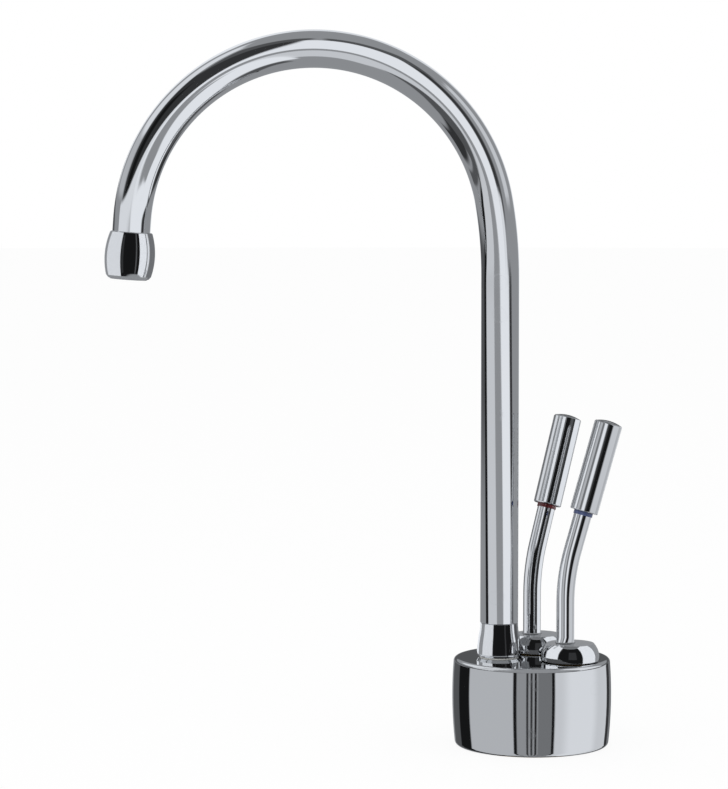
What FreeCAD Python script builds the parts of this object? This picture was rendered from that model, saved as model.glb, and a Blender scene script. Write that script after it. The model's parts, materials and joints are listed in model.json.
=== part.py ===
import FreeCAD, Part
import math
import os

# Two-lever boiling water tap: one swivelling gooseneck spout, a hot lever and a cold lever,
# all on one round base that a hollow threaded shank holds to the worktop.
# Millimetres. The origin is on the base's axis at the worktop, +Z is up, the spout reaches
# towards -X and the cold lever stands on the -Y side.

V = FreeCAD.Vector
UP = V(0, 0, 1)
ROUND_VIA = 1 - math.sqrt(0.5)   # middle of a rounded corner, as a share of its radius

# ---- driving dimensions -------------------------------------------------------------------

# base
BASE_H = 37.0                # worktop to the base's flat top
BASE_BOTTOM_R = 32.3         # barrel side at the worktop, before the edge is rounded
BASE_BELLY_R = 33.5          # widest part of the barrel
BASE_BELLY_Z = 0.527 * BASE_H
BASE_TOP_R = 32.85           # barrel side at the top, before the edge is rounded
BASE_TOP_ROUND = 1.7
BASE_BOTTOM_ROUND = 1.8
SHELL_BORE_R = 28.6
ROOF_T = 5.5
ROOF_Z = BASE_H - ROOF_T     # underside of the shell's roof
RECESS_R = 29.3              # recess for the locating ring and the gasket
RING_TOP_Z = 4.0
GASKET_T = 1.5

# places on the base's top
SPOUT_AT = (-13.8, 0.8)
COLD_AT = (15.8, -10.1)
HOT_AT = (2.5, 15.5)

# valve body, the brass block inside the shell
PLATE_R = 26.0
PLATE_T = 4.0
HUB_R = 18.5                 # middle boss, which the shank screws into
VALVE_BOSS_R = 9.3
SPOUT_BOSS_R = 10.0
POCKET_DEPTH = 11.0          # of the two valve pockets and the spout's socket
FLOOR_Z = ROOF_Z - POCKET_DEPTH
POCKET_R = 7.5
SOCKET_R = 8.0
PASSAGE_R = 1.6              # drilled waterways
FEED_R = 2.5
GALLERY_Z = FLOOR_Z - 2.7    # cross drilling that feeds both valves
BOSS_BOTTOM_Z = GALLERY_Z - 4.8
PLUG_R = 2.4
PLUG_L = 3.5
SPOUT_PORT_GAP = 6.0         # how far from the socket's axis the waterways to it end
VALVE_PORT_GAP = 7.3         # the same for the waterways that leave the valve pockets

# shank and what holds the tap to the worktop
SHANK_R = 16.0
SHANK_BORE_R = 12.5
SHANK_NECK_R = 15.0          # end that screws into the valve body
SHANK_TOP_Z = BOSS_BOTTOM_Z - 2.0
SHANK_PLAIN = 12.0           # plain stretch below the base, in the worktop's hole
SHANK_BOTTOM_Z = -60.0
THREAD_PITCH = 2.0
THREAD_DEPTH = 0.9
WORKTOP_T = 30.0
RUBBER_WASHER_T = 3.0
STEEL_WASHER_T = 2.0
WASHER_R = 27.0
WASHER_BORE_R = 16.3
SHANK_NUT_T = 8.0
SHANK_NUT_FLATS = 41.0

# inlet tails: rigid tubes that the hoses are fixed to
TAIL_R = 4.0
TAIL_BORE_R = 2.9
TAIL_CIRCLE_R = 7.5
TAIL_TOP_Z = SHANK_TOP_Z + 4.5
TAIL_PORT_Z = TAIL_TOP_Z + 1.5   # where the slanted waterways meet those of the tails
TAIL_HEX_FLATS = 11.0
TAIL_HEX_H = 6.0
TAIL_END = 18.0              # plain end that a compression fitting grips
TAIL_BOTTOM_Z = -88.0        # lower end of the shortest tail
TAIL_STEP = 10.0             # each next tail is longer by this, so that spanners reach all
TAILS = {                    # name: (azimuth in degrees, height of its lower end)
    "supply": (28.0, TAIL_BOTTOM_Z),
    "tank_feed": (135.0, TAIL_BOTTOM_Z - TAIL_STEP),
    "tank_return": (262.0, TAIL_BOTTOM_Z - 2 * TAIL_STEP),
}

# small fasteners
FIXING_AZIMUTHS = (25.0, 128.0, 250.0)
FIXING_CIRCLE_R = 23.0
FIXING_R = 1.5
FIXING_HEAD_R = 2.8
FIXING_HEAD_H = 2.2
FIXING_HEAD_ROUND = 0.6
FIXING_DEPTH = 4.0
FIXING_TIP_GAP = 0.5
FIXING_KEY = 2.0             # hexagon socket, across its flats
FIXING_KEY_DEPTH = 1.4
GRUB_R = 2.0
GRUB_L = 4.5
GRUB_TIP_R = 0.7
GRUB_TIP_GAP = 0.4           # between the tip and the bottom of the spigot's groove
GRUB_KEY = 2.0
GRUB_KEY_DEPTH = 1.8
GRUB_Z = BASE_H - 11.4
ACCESS_R = 2.6
ACCESS_PLUG_L = 3.5
ACCESS_HOLE_L = 8.0          # from the drum's side inwards

# spout foot
SLIP_WASHER_T = 0.4
COLLAR_FOOT_R = 9.4          # widest part of the flared foot
COLLAR_SOLE_R = 8.5          # its underside, inside a bevelled edge
COLLAR_BEVEL_H = 1.2
COLLAR_MIDDLE_R = 8.62       # where the flare turns from hollow to full
COLLAR_MIDDLE_Z = BASE_H + 8.8
COLLAR_H = 14.8
COLLAR_TOP_Z = BASE_H + COLLAR_H
COLLAR_LIP_H = 0.8           # upright stretch at the top, with its chamfer
COLLAR_CHAMFER = 0.35        # draws the fine line between foot and tube
SPIGOT_R = 6.0               # turning part, in the bush
SPIGOT_BORE_R = 4.0
SPIGOT_DEPTH = 13.6          # below the base's top
SPIGOT_RISE = 25.0           # above it, inside collar and tube
SPIGOT_BOTTOM_Z = BASE_H - SPIGOT_DEPTH
SPIGOT_TOP_Z = BASE_H + SPIGOT_RISE
SPIGOT_CHAMFER = 0.4
RUN = 0.05                   # radial clearance of a running fit
BUSH_BOTTOM_Z = BASE_H - 9.8
O_RING_R = 0.72              # section of the spigot's seals
O_RING_PLAY = 0.2            # free height above and below a seal in its groove
O_RING_HEIGHTS = {"lower": BASE_H - 7.4, "upper": BASE_H - 4.0}
RETAIN_GROOVE_R = 5.0
RETAIN_GROOVE_H = 2.4

# spout tube
TUBE_R = 8.0
TUBE_BORE_R = 6.7
POST_H = 160.7               # straight stretch of the spout, from the base's top
BEND_START_Z = BASE_H + POST_H
EASE_R = 182.0               # gentle first bend
EASE_DEG = 10.0
ARCH_R = 76.5
ARCH_END_DEG = 175.8         # direction in which the arch ends, 180 being straight down
TUBE_END = 5.5

# outlet
OUTLET_L = 19.6
OUTLET_TOP_R = 8.9
OUTLET_BELLY_R = 10.6
OUTLET_BELLY_AT = 10.8       # distance of the widest part below the outlet's top edge
OUTLET_BOTTOM_R = 9.5
OUTLET_BEVEL = 1.1
OUTLET_BEVEL_W = 0.9
OUTLET_EDGE = 0.3            # small chamfer at the top
OUTLET_SOCKET = 7.0          # how deep the tube stands in the housing
OUTLET_THROAT_R = 6.7
OUTLET_SEAT = 9.5            # distance of the insert's seat below the top edge
INSERT_R = 8.2
OUTLET_WASHER_T = 1.5
STRAIGHTENER_T = 2.6
STRAIGHTENER_HOLE_R = 0.95
STRAIGHTENER_PITCH = 2.7
OUTLET_RING_BORE_R = 6.9
OUTLET_RING_PROUD = 0.4
OUTLET_RING_EDGE = 0.4       # chamfer at its mouth

# valves
SEAL_T = 1.0
SEAL_BORE_R = 5.1
CARTRIDGE_BORE_R = 6.0
DISC_R = 5.6
FIXED_DISC_T = 2.7
MOVING_DISC_T = 2.3
DISC_HOLE_R = 1.3
DISC_CIRCLE_R = 3.6
TONGUE_W = 3.0
TONGUE_L = 8.6
TONGUE_DEPTH = 1.0
HEAD_Z = ROOF_Z - 3.1        # underside of the stem's head
HEAD_T = 1.3
CARTRIDGE_ROOF_Z = ROOF_Z - 1.5
WINDOW_Z = ROOF_Z - 4.4
WINDOW_R = 1.7
STEM_R = 3.0
STEM_TOP_Z = BASE_H + 5.8
STEM_SEAL_R = 0.44
STEM_SEAL_PLAY = 0.15
STEM_SEAL_Z = BASE_H - 2.0
BONNET_R = 8.0
BONNET_FLATS = 16.0
BONNET_HEX_H = 2.2

# levers
CAP_GAP = 0.3                # cap above the base's top
CAP_R = 12.2
CAP_SHOULDER_Z = 2.0         # the side is upright up to here, above the cap's underside
CAP_PLATEAU_R = 9.9
CAP_H = 7.5
CAP_CROWN = 0.25             # rise of the slightly domed top
CAP_EDGE = 0.4               # small chamfer at the underside
CAP_SWELL_R = 11.45          # a point of the curve from shoulder to plateau
CAP_SWELL_Z = 4.9
CAP_BORE_R = 10.2
CAP_BORE_TOP_Z = BASE_H + 4.8
CAP_HUB_R = 5.5
CAP_HUB_Z = BASE_H + 2.8
CAP_SCREW_R = 1.25
CAP_SCREW_Z = BASE_H + 4.3
CAP_SCREW_SUNK = 0.9         # the set screw's outer end inside the cap's side
CAP_SCREW_KEY = 1.3
CAP_SCREW_KEY_DEPTH = 1.2
ROD_R = 3.75
ROD_OFFSET = -2.1            # the rod stands a little to the spout's side of its cap's axis
ROD_STUB_R = 2.5
ROD_STUB_L = 1.2
ROD_STUB_GAP = 0.2           # under the stub, in the cap
ROD_STRAIGHT = 16.8
ROD_BEND_R = 75.0
ROD_LEAN = 17.0
ROD_TO_GRIP = 16.8           # straight length from the bend to the grip
ROD_IN_GRIP = 14.0
INDEX_R = 4.05
INDEX_T = 1.7
GRIP_R = 5.9
GRIP_L = 39.4
GRIP_ROUND = 0.8
GRIP_CROWN = 0.9
GRIP_EDGE = 0.3              # small chamfer at the foot

# each valve: its place, and the azimuth its lever leans towards when it is shut
VALVES = {
    "cold": (COLD_AT, 22.0),
    "hot": (HOT_AT, 38.0),
}

# ---- basic shapes -------------------------------------------------------------------------


def polar(radius, azimuth):
    """The point at a radius and an azimuth in degrees, as (x, y)."""
    angle = math.radians(azimuth)
    return radius * math.cos(angle), radius * math.sin(angle)


def bar(at, low, high, radius):
    """An upright round bar at (x, y) from height low to height high."""
    return Part.makeCylinder(radius, high - low, V(at[0], at[1], low))


def sleeve(at, low, high, outer, inner):
    """An upright round sleeve."""
    return bar(at, low, high, outer).cut(bar(at, low, high, inner))


def drill(start, end, radius):
    """A round bar from one point to another, in any direction."""
    return Part.makeCylinder(radius, (end - start).Length, start, end - start)


def torus(at, height, ring_r, section_r):
    """A round ring of round section."""
    return Part.makeTorus(ring_r, section_r, V(at[0], at[1], height))


def hexagon(at, low, high, flats):
    """An upright hexagonal bar, sized across its flats."""
    corner = flats / math.sqrt(3)
    points = [V(at[0], at[1], low) + V(*polar(corner, 60 * side), 0) for side in range(7)]
    return Part.Face(Part.makePolygon(points)).extrude(UP * (high - low))


def block(at, low, high, length, width, azimuth):
    """An upright rectangular block, centred at (x, y) and turned to an azimuth."""
    shape = Part.makeBox(length, width, high - low, V(-length / 2, -width / 2, low))
    shape.rotate(V(0, 0, 0), UP, azimuth)
    shape.translate(V(at[0], at[1], 0))
    return shape


def turned(outline, at=(0, 0)):
    """A turned solid. The outline is a closed list of (radius, height). A point that has a
    third value, a (radius, height) pair, is reached by an arc through that pair."""
    edges = []
    start = outline[-1]
    for point in outline:
        a = V(start[0], 0, start[1])
        b = V(point[0], 0, point[1])
        if len(point) == 3:
            via = V(point[2][0], 0, point[2][1])
            edges.append(Part.Arc(a, via, b).toShape())
        else:
            edges.append(Part.makeLine(a, b))
        start = point
    shape = Part.Face(Part.Wire(edges)).revolve(V(0, 0, 0), UP, 360)
    shape = Part.Solid(Part.Shell(shape.Faces)) if shape.ShapeType != "Solid" else shape
    shape.translate(V(at[0], at[1], 0))
    return shape


def crown(rim_r, rise, top):
    """The last point of an outline that ends in a slightly domed top."""
    ball_r = (rim_r ** 2 + rise ** 2) / (2 * rise)
    middle_r = rim_r / 2
    return 0, top, (middle_r, top - ball_r + math.sqrt(ball_r ** 2 - middle_r ** 2))


def swept(path, radius):
    """A round bar along a path of edges that join without a kink."""
    wire = Part.Wire(path)
    start = path[0].valueAt(path[0].FirstParameter)
    along = path[0].tangentAt(path[0].FirstParameter)
    ring = Part.Wire(Part.makeCircle(radius, start, along))
    return wire.makePipeShell([ring], True, False)


def circles_at(shape, height):
    """The level round edges of a shape at a height."""
    found = []
    for edge in shape.Edges:
        box = edge.BoundBox
        if box.ZLength < 1e-6 and abs(box.ZMin - height) < 1e-6 and box.XLength > 2:
            found.append(edge)
    return found


# ---- base ---------------------------------------------------------------------------------


def barrel():
    """The base's outside: a flat-topped drum with a slightly swollen side."""
    drum = turned([
        (0, 0),
        (BASE_BOTTOM_R, 0),
        (BASE_TOP_R, BASE_H, (BASE_BELLY_R, BASE_BELLY_Z)),
        (0, BASE_H),
    ])
    drum = drum.makeFillet(BASE_TOP_ROUND, circles_at(drum, BASE_H))
    return drum.makeFillet(BASE_BOTTOM_ROUND, circles_at(drum, 0))


def access_hole(length):
    """The hole at the back of the shell through which the spout's grub screw is reached."""
    face_y = math.sqrt(BASE_BELLY_R ** 2 - SPOUT_AT[0] ** 2)
    start = V(SPOUT_AT[0], face_y - length, GRUB_Z)
    return drill(start, start + V(0, length + 2, 0), ACCESS_R)


def base_shell():
    """The chromed drum with openings for the spout and for the two valves."""
    shape = barrel()
    shape = shape.cut(bar((0, 0), 0, ROOF_Z, SHELL_BORE_R))
    shape = shape.cut(bar((0, 0), 0, RING_TOP_Z, RECESS_R))
    shape = shape.cut(bar(SPOUT_AT, ROOF_Z, BASE_H, SOCKET_R))
    for place, _ in VALVES.values():
        shape = shape.cut(bar(place, ROOF_Z, BASE_H, BONNET_R))
    for azimuth in FIXING_AZIMUTHS:
        place = polar(FIXING_CIRCLE_R, azimuth)
        shape = shape.cut(bar(place, ROOF_Z, ROOF_Z + FIXING_DEPTH, FIXING_R))
    return shape.cut(access_hole(ACCESS_HOLE_L))


def access_plug():
    """The small plug that closes the access hole, flush with the drum."""
    return access_hole(ACCESS_PLUG_L).common(barrel())


def level_direction(start, end):
    """The level unit direction from one (x, y) place to another."""
    return V(end[0] - start[0], end[1] - start[1], 0).normalize()


def gallery_ends():
    """The cross drilling that feeds both valves: its outer mouth, the plug's inner end and
    the drilling's inner end."""
    along = level_direction(HOT_AT, COLD_AT)
    cold = V(COLD_AT[0], COLD_AT[1], GALLERY_Z)
    mouth = cold + along * (VALVE_BOSS_R + 1)
    return mouth, cold + along * (VALVE_BOSS_R - PLUG_L), V(HOT_AT[0], HOT_AT[1], GALLERY_Z)


def waterways():
    """The drilled waterways, as solids to cut out of the valve body."""
    mouth, plug_end, end = gallery_ends()
    ways = [drill(mouth, end, PASSAGE_R), drill(mouth, plug_end, PLUG_R)]
    for place, _ in VALVES.values():
        ways.append(bar(place, GALLERY_Z, FLOOR_Z, FEED_R))
    tops = {}
    for name, (azimuth, _) in TAILS.items():
        place = polar(TAIL_CIRCLE_R, azimuth)
        ways.append(bar(place, SHANK_TOP_Z, TAIL_TOP_Z, TAIL_R))
        ways.append(bar(place, TAIL_TOP_Z, GALLERY_Z + PASSAGE_R / 2, TAIL_BORE_R))
        tops[name] = place
    # cold valve to spout, hot valve down to the tank's feed, tank's return up to the spout
    spout_port = (FLOOR_Z + SPIGOT_BOTTOM_Z) / 2
    ways.append(slanted_way(COLD_AT, VALVE_PORT_GAP, WINDOW_Z, SPOUT_AT, SPOUT_PORT_GAP, spout_port))
    ways.append(slanted_way(HOT_AT, VALVE_PORT_GAP, WINDOW_Z, tops["tank_feed"], 0, TAIL_PORT_Z))
    ways.append(slanted_way(SPOUT_AT, SPOUT_PORT_GAP, spout_port, tops["tank_return"], 0, TAIL_PORT_Z))
    return ways


def slanted_way(start, start_gap, start_z, end, end_gap, end_z):
    """A slanted drilling between two upright bores; each gap is how far from the bore's
    axis the drilling stops."""
    along = level_direction(start, end)
    a = V(start[0], start[1], start_z) + along * start_gap
    b = V(end[0], end[1], end_z) - along * end_gap
    return drill(a, b, PASSAGE_R)


def valve_body():
    """The brass block under the roof. It holds the valves and the spout's socket and joins
    them to the three inlet tails through drilled waterways."""
    shape = bar((0, 0), ROOF_Z - PLATE_T, ROOF_Z, PLATE_R)
    shape = shape.fuse(bar((0, 0), RING_TOP_Z, ROOF_Z, HUB_R))
    shape = shape.fuse(bar(SPOUT_AT, BOSS_BOTTOM_Z, ROOF_Z, SPOUT_BOSS_R))
    for place, _ in VALVES.values():
        shape = shape.fuse(bar(place, BOSS_BOTTOM_Z, ROOF_Z, VALVE_BOSS_R))
    shape = shape.removeSplitter()
    for place, _ in VALVES.values():
        shape = shape.cut(bar(place, FLOOR_Z, ROOF_Z, POCKET_R))
    shape = shape.cut(bar(SPOUT_AT, FLOOR_Z, ROOF_Z, SOCKET_R))
    shape = shape.cut(bar((0, 0), RING_TOP_Z, SHANK_TOP_Z, SHANK_NECK_R))
    for azimuth in FIXING_AZIMUTHS:
        place = polar(FIXING_CIRCLE_R, azimuth)
        shape = shape.cut(bar(place, ROOF_Z - PLATE_T, ROOF_Z, FIXING_R))
    for way in waterways():
        shape = shape.cut(way)
    return shape.cut(grub_bore())


def passage_plug():
    """The plug that closes the gallery's outer mouth."""
    mouth, plug_end, _ = gallery_ends()
    plug = drill(mouth, plug_end, PLUG_R)
    return plug.common(bar(COLD_AT, BOSS_BOTTOM_Z, ROOF_Z, VALVE_BOSS_R))


def grub_bore():
    """The threaded bore of the grub screw that keeps the spout down."""
    start = V(SPOUT_AT[0], SPOUT_AT[1] + SPIGOT_R, GRUB_Z)
    return drill(start, start + V(0, SPOUT_BOSS_R + GRUB_R, 0), GRUB_R)


def back_key(mouth, depth, flats):
    """A hexagon socket that opens to the back, with its mouth at a point."""
    socket = hexagon((0, 0), -depth, 1, flats)
    socket.rotate(V(0, 0, 0), V(1, 0, 0), -90)
    socket.translate(mouth)
    return socket


def spout_grub_screw():
    """The grub screw, whose tip runs in the spigot's groove, with its hexagon socket."""
    tip_y = SPOUT_AT[1] + RETAIN_GROOVE_R + GRUB_TIP_GAP
    body_y = SPOUT_AT[1] + SOCKET_R
    end_y = body_y + GRUB_L
    x = SPOUT_AT[0]
    screw = drill(V(x, tip_y, GRUB_Z), V(x, body_y, GRUB_Z), GRUB_TIP_R)
    screw = screw.fuse(drill(V(x, body_y, GRUB_Z), V(x, end_y, GRUB_Z), GRUB_R))
    return screw.cut(back_key(V(x, end_y, GRUB_Z), GRUB_KEY_DEPTH, GRUB_KEY))


def fixing_screw(azimuth):
    """A pan-head screw that holds the valve body up against the shell's roof."""
    place = polar(FIXING_CIRCLE_R, azimuth)
    head_top = ROOF_Z - PLATE_T
    head = bar(place, head_top - FIXING_HEAD_H, head_top, FIXING_HEAD_R)
    head_low = head_top - FIXING_HEAD_H
    head = head.makeFillet(FIXING_HEAD_ROUND, circles_at(head, head_low))
    shaft = bar(place, head_top, ROOF_Z + FIXING_DEPTH - FIXING_TIP_GAP, FIXING_R)
    return head.fuse(shaft).cut(hexagon(place, head_low, head_low + FIXING_KEY_DEPTH, FIXING_KEY))


def base_ring():
    """The plastic ring that centres the shank in the shell."""
    return sleeve((0, 0), GASKET_T, RING_TOP_Z, RECESS_R, SHANK_NECK_R)


def deck_gasket():
    """The rubber gasket under the base."""
    return sleeve((0, 0), 0, GASKET_T, RECESS_R, WASHER_BORE_R)


def shank():
    """The hollow shank: a neck in the locating ring and the valve body, a plain stretch in
    the worktop and a thread, drawn as closed rings, for the nut."""
    outline = [
        (SHANK_BORE_R, SHANK_TOP_Z),
        (SHANK_BORE_R, SHANK_BOTTOM_Z),
        (SHANK_R - THREAD_DEPTH, SHANK_BOTTOM_Z),
    ]
    height = SHANK_BOTTOM_Z + THREAD_DEPTH
    while height < -SHANK_PLAIN - THREAD_PITCH / 2:
        outline.append((SHANK_R, height))
        outline.append((SHANK_R, height + THREAD_PITCH * 0.25))
        outline.append((SHANK_R - THREAD_DEPTH, height + THREAD_PITCH * 0.6))
        height += THREAD_PITCH
    outline += [
        (SHANK_R, -SHANK_PLAIN),
        (SHANK_R, 0),
        (SHANK_NECK_R, 0),
        (SHANK_NECK_R, SHANK_TOP_Z),
    ]
    return turned(outline)


def rubber_washer():
    """The rubber washer under the worktop."""
    top = -WORKTOP_T
    return sleeve((0, 0), top - RUBBER_WASHER_T, top, WASHER_R, WASHER_BORE_R)


def steel_washer():
    """The steel washer that spreads the nut's load."""
    top = -WORKTOP_T - RUBBER_WASHER_T
    return sleeve((0, 0), top - STEEL_WASHER_T, top, WASHER_R, WASHER_BORE_R)


def shank_nut():
    """The thin hexagon nut on the shank, with its corners turned off."""
    top = -WORKTOP_T - RUBBER_WASHER_T - STEEL_WASHER_T
    bottom = top - SHANK_NUT_T
    corner = SHANK_NUT_FLATS / math.sqrt(3)
    cone = turned([
        (0, bottom),
        (SHANK_NUT_FLATS / 2, bottom),
        (corner + 0.2, bottom + 2),
        (corner + 0.2, top),
        (0, top),
    ])
    shape = hexagon((0, 0), bottom, top, SHANK_NUT_FLATS).common(cone)
    return shape.cut(bar((0, 0), bottom, top, SHANK_R))


def inlet_tail(name):
    """A rigid inlet tube: its top stands in the valve body, a hexagon below the shank
    takes a spanner, and its plain end takes a compression fitting."""
    azimuth, bottom = TAILS[name]
    place = polar(TAIL_CIRCLE_R, azimuth)
    hex_low = bottom + TAIL_END
    shape = bar(place, bottom, TAIL_TOP_Z, TAIL_R)
    shape = shape.makeChamfer(0.5, circles_at(shape, bottom))
    shape = shape.fuse(hexagon(place, hex_low, hex_low + TAIL_HEX_H, TAIL_HEX_FLATS))
    return shape.cut(bar(place, bottom, TAIL_TOP_Z, TAIL_BORE_R))


# ---- spout --------------------------------------------------------------------------------


def swivel_bush():
    """The bush in which the spout turns. It fills the socket and the shell's hole."""
    return sleeve(SPOUT_AT, BUSH_BOTTOM_Z, BASE_H, SOCKET_R, SPIGOT_R + RUN)


def slip_washer():
    """The thin washer on which the collar turns."""
    return sleeve(SPOUT_AT, BASE_H, BASE_H + SLIP_WASHER_T, COLLAR_SOLE_R - 0.3, SPIGOT_R + 0.3)


def spout_collar():
    """The flared foot of the spout. Its top edge is chamfered, which draws the fine line
    between foot and tube."""
    foot_z = BASE_H + SLIP_WASHER_T
    return turned([
        (TUBE_BORE_R, foot_z),
        (COLLAR_SOLE_R, foot_z),
        (COLLAR_FOOT_R, foot_z + COLLAR_BEVEL_H),
        (COLLAR_MIDDLE_R, COLLAR_MIDDLE_Z, (COLLAR_MIDDLE_R + 0.5, COLLAR_MIDDLE_Z - 3.5)),
        (TUBE_R, COLLAR_TOP_Z - COLLAR_LIP_H, (COLLAR_MIDDLE_R - 0.42, COLLAR_MIDDLE_Z + 2.3)),
        (TUBE_R, COLLAR_TOP_Z - COLLAR_CHAMFER),
        (TUBE_R - COLLAR_CHAMFER, COLLAR_TOP_Z),
        (TUBE_BORE_R, COLLAR_TOP_Z),
    ], SPOUT_AT)


def spout_spigot():
    """The brass spigot: its lower part turns in the bush and carries two seals and the
    retaining groove, its upper part joins collar and tube."""
    foot_z = BASE_H + SLIP_WASHER_T
    groove_low = GRUB_Z - RETAIN_GROOVE_H / 2
    seal_bottom_r = SPIGOT_R - 2 * O_RING_R
    shape = turned([
        (SPIGOT_BORE_R, SPIGOT_BOTTOM_Z),
        (SPIGOT_R - SPIGOT_CHAMFER, SPIGOT_BOTTOM_Z),
        (SPIGOT_R, SPIGOT_BOTTOM_Z + SPIGOT_CHAMFER),
        (SPIGOT_R, foot_z),
        (TUBE_BORE_R, foot_z),
        (TUBE_BORE_R, SPIGOT_TOP_Z - SPIGOT_CHAMFER),
        (TUBE_BORE_R - SPIGOT_CHAMFER, SPIGOT_TOP_Z),
        (SPIGOT_BORE_R, SPIGOT_TOP_Z),
    ], SPOUT_AT)
    groove_high = groove_low + RETAIN_GROOVE_H
    shape = shape.cut(sleeve(SPOUT_AT, groove_low, groove_high, SPIGOT_R + 1, RETAIN_GROOVE_R))
    for height in O_RING_HEIGHTS.values():
        low = height - O_RING_R - O_RING_PLAY
        high = height + O_RING_R + O_RING_PLAY
        shape = shape.cut(sleeve(SPOUT_AT, low, high, SPIGOT_R + 1, seal_bottom_r))
    return shape


def spigot_o_ring(height):
    """A rubber seal in the spigot's groove."""
    return torus(SPOUT_AT, height, SPIGOT_R - O_RING_R, O_RING_R)


def arch_point(centre, radius, degrees):
    """A point of an arc in the spout's plane; 0 degrees is towards +X, 90 is up."""
    angle = math.radians(degrees)
    return centre + V(radius * math.cos(angle), 0, radius * math.sin(angle))


def spout_path():
    """The spout's centre line: a straight post, a gentle bend, the arch and a short
    straight end. Returns the edges and the end's direction."""
    foot = V(SPOUT_AT[0], SPOUT_AT[1], COLLAR_TOP_Z)
    bend = V(SPOUT_AT[0], SPOUT_AT[1], BEND_START_Z)
    ease_centre = bend - V(EASE_R, 0, 0)
    ease_end = arch_point(ease_centre, EASE_R, EASE_DEG)
    arch_centre = arch_point(ease_centre, EASE_R - ARCH_R, EASE_DEG)
    arch_middle = arch_point(arch_centre, ARCH_R, (EASE_DEG + ARCH_END_DEG) / 2)
    arch_end = arch_point(arch_centre, ARCH_R, ARCH_END_DEG)
    angle = math.radians(ARCH_END_DEG + 90)
    down = V(math.cos(angle), 0, math.sin(angle))
    tip = arch_end + down * TUBE_END
    edges = [
        Part.makeLine(foot, bend),
        Part.Arc(bend, arch_point(ease_centre, EASE_R, EASE_DEG / 2), ease_end).toShape(),
        Part.Arc(ease_end, arch_middle, arch_end).toShape(),
        Part.makeLine(arch_end, tip + down * OUTLET_SOCKET),
    ]
    return edges, tip, down


def spout_tube():
    """The gooseneck tube."""
    edges, _, _ = spout_path()
    return swept(edges, TUBE_R).cut(swept(edges, TUBE_BORE_R))


def at_outlet(shape):
    """Moves a shape drawn about the Z axis, its top at height 0, to the spout's tip."""
    _, tip, down = spout_path()
    shape.rotate(V(0, 0, 0), V(0, 1, 0), math.degrees(math.atan2(-down.x, -down.z)))
    shape.translate(tip)
    return shape


def outlet_housing():
    """The barrel-shaped chromed housing on the spout's tip."""
    shape = turned([
        (TUBE_R, 0),
        (OUTLET_TOP_R - OUTLET_EDGE, 0),
        (OUTLET_TOP_R, -OUTLET_EDGE),
        (OUTLET_BOTTOM_R, OUTLET_BEVEL - OUTLET_L, (OUTLET_BELLY_R, -OUTLET_BELLY_AT)),
        (OUTLET_BOTTOM_R - OUTLET_BEVEL_W, -OUTLET_L),
        (INSERT_R, -OUTLET_L),
        (INSERT_R, -OUTLET_SEAT),
        (OUTLET_THROAT_R, -OUTLET_SEAT),
        (OUTLET_THROAT_R, -OUTLET_SOCKET),
        (TUBE_R, -OUTLET_SOCKET),
    ])
    return at_outlet(shape)


def outlet_washer():
    """The rubber washer above the flow straightener."""
    low = -OUTLET_SEAT - OUTLET_WASHER_T
    return at_outlet(sleeve((0, 0), low, -OUTLET_SEAT, INSERT_R, OUTLET_THROAT_R))


def flow_straightener():
    """A plate of small round holes that makes the stream even."""
    top = -OUTLET_SEAT - OUTLET_WASHER_T
    shape = bar((0, 0), top - STRAIGHTENER_T, top, INSERT_R)
    holes = []
    for row in range(-2, 3):
        count = 5 - abs(row)
        y = row * STRAIGHTENER_PITCH * math.sqrt(3) / 2
        for column in range(count):
            x = (column - (count - 1) / 2) * STRAIGHTENER_PITCH
            holes.append(bar((x, y), top - STRAIGHTENER_T, top, STRAIGHTENER_HOLE_R))
    return at_outlet(shape.cut(Part.makeCompound(holes)))


def outlet_ring():
    """The screwed ring that holds the straightener, a little proud of the housing."""
    top = -OUTLET_SEAT - OUTLET_WASHER_T - STRAIGHTENER_T
    low = -OUTLET_L - OUTLET_RING_PROUD
    shape = turned([
        (OUTLET_RING_BORE_R, top),
        (OUTLET_RING_BORE_R, low + OUTLET_RING_EDGE),
        (OUTLET_RING_BORE_R + OUTLET_RING_EDGE, low),
        (INSERT_R - OUTLET_RING_EDGE, low),
        (INSERT_R, low + OUTLET_RING_EDGE),
        (INSERT_R, top),
    ])
    return at_outlet(shape)


# ---- valves -------------------------------------------------------------------------------


def seat_seal(place):
    """The rubber ring under the cartridge."""
    return sleeve(place, FLOOR_Z, FLOOR_Z + SEAL_T, POCKET_R, SEAL_BORE_R)


def disc_holes(place, low, high, azimuth):
    """A pair of round waterways through a disc."""
    holes = []
    for side in (0, 180):
        step = polar(DISC_CIRCLE_R, azimuth + side)
        holes.append(bar((place[0] + step[0], place[1] + step[1]), low, high, DISC_HOLE_R))
    return Part.makeCompound(holes)


def fixed_disc(place, azimuth):
    """The ceramic disc that stays still. Its holes are a quarter turn away from those of
    the moving disc, so the valve is shut."""
    low = FLOOR_Z + SEAL_T
    high = low + FIXED_DISC_T
    return bar(place, low, high, CARTRIDGE_BORE_R).cut(disc_holes(place, low, high, azimuth))


def moving_disc(place, azimuth):
    """The ceramic disc that the stem turns."""
    low = FLOOR_Z + SEAL_T + FIXED_DISC_T
    high = low + MOVING_DISC_T
    shape = bar(place, low, high, DISC_R)
    shape = shape.cut(disc_holes(place, low, high, azimuth + 90))
    return shape.cut(block(place, high - TONGUE_DEPTH, high, 2 * DISC_R, TONGUE_W, azimuth))


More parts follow.
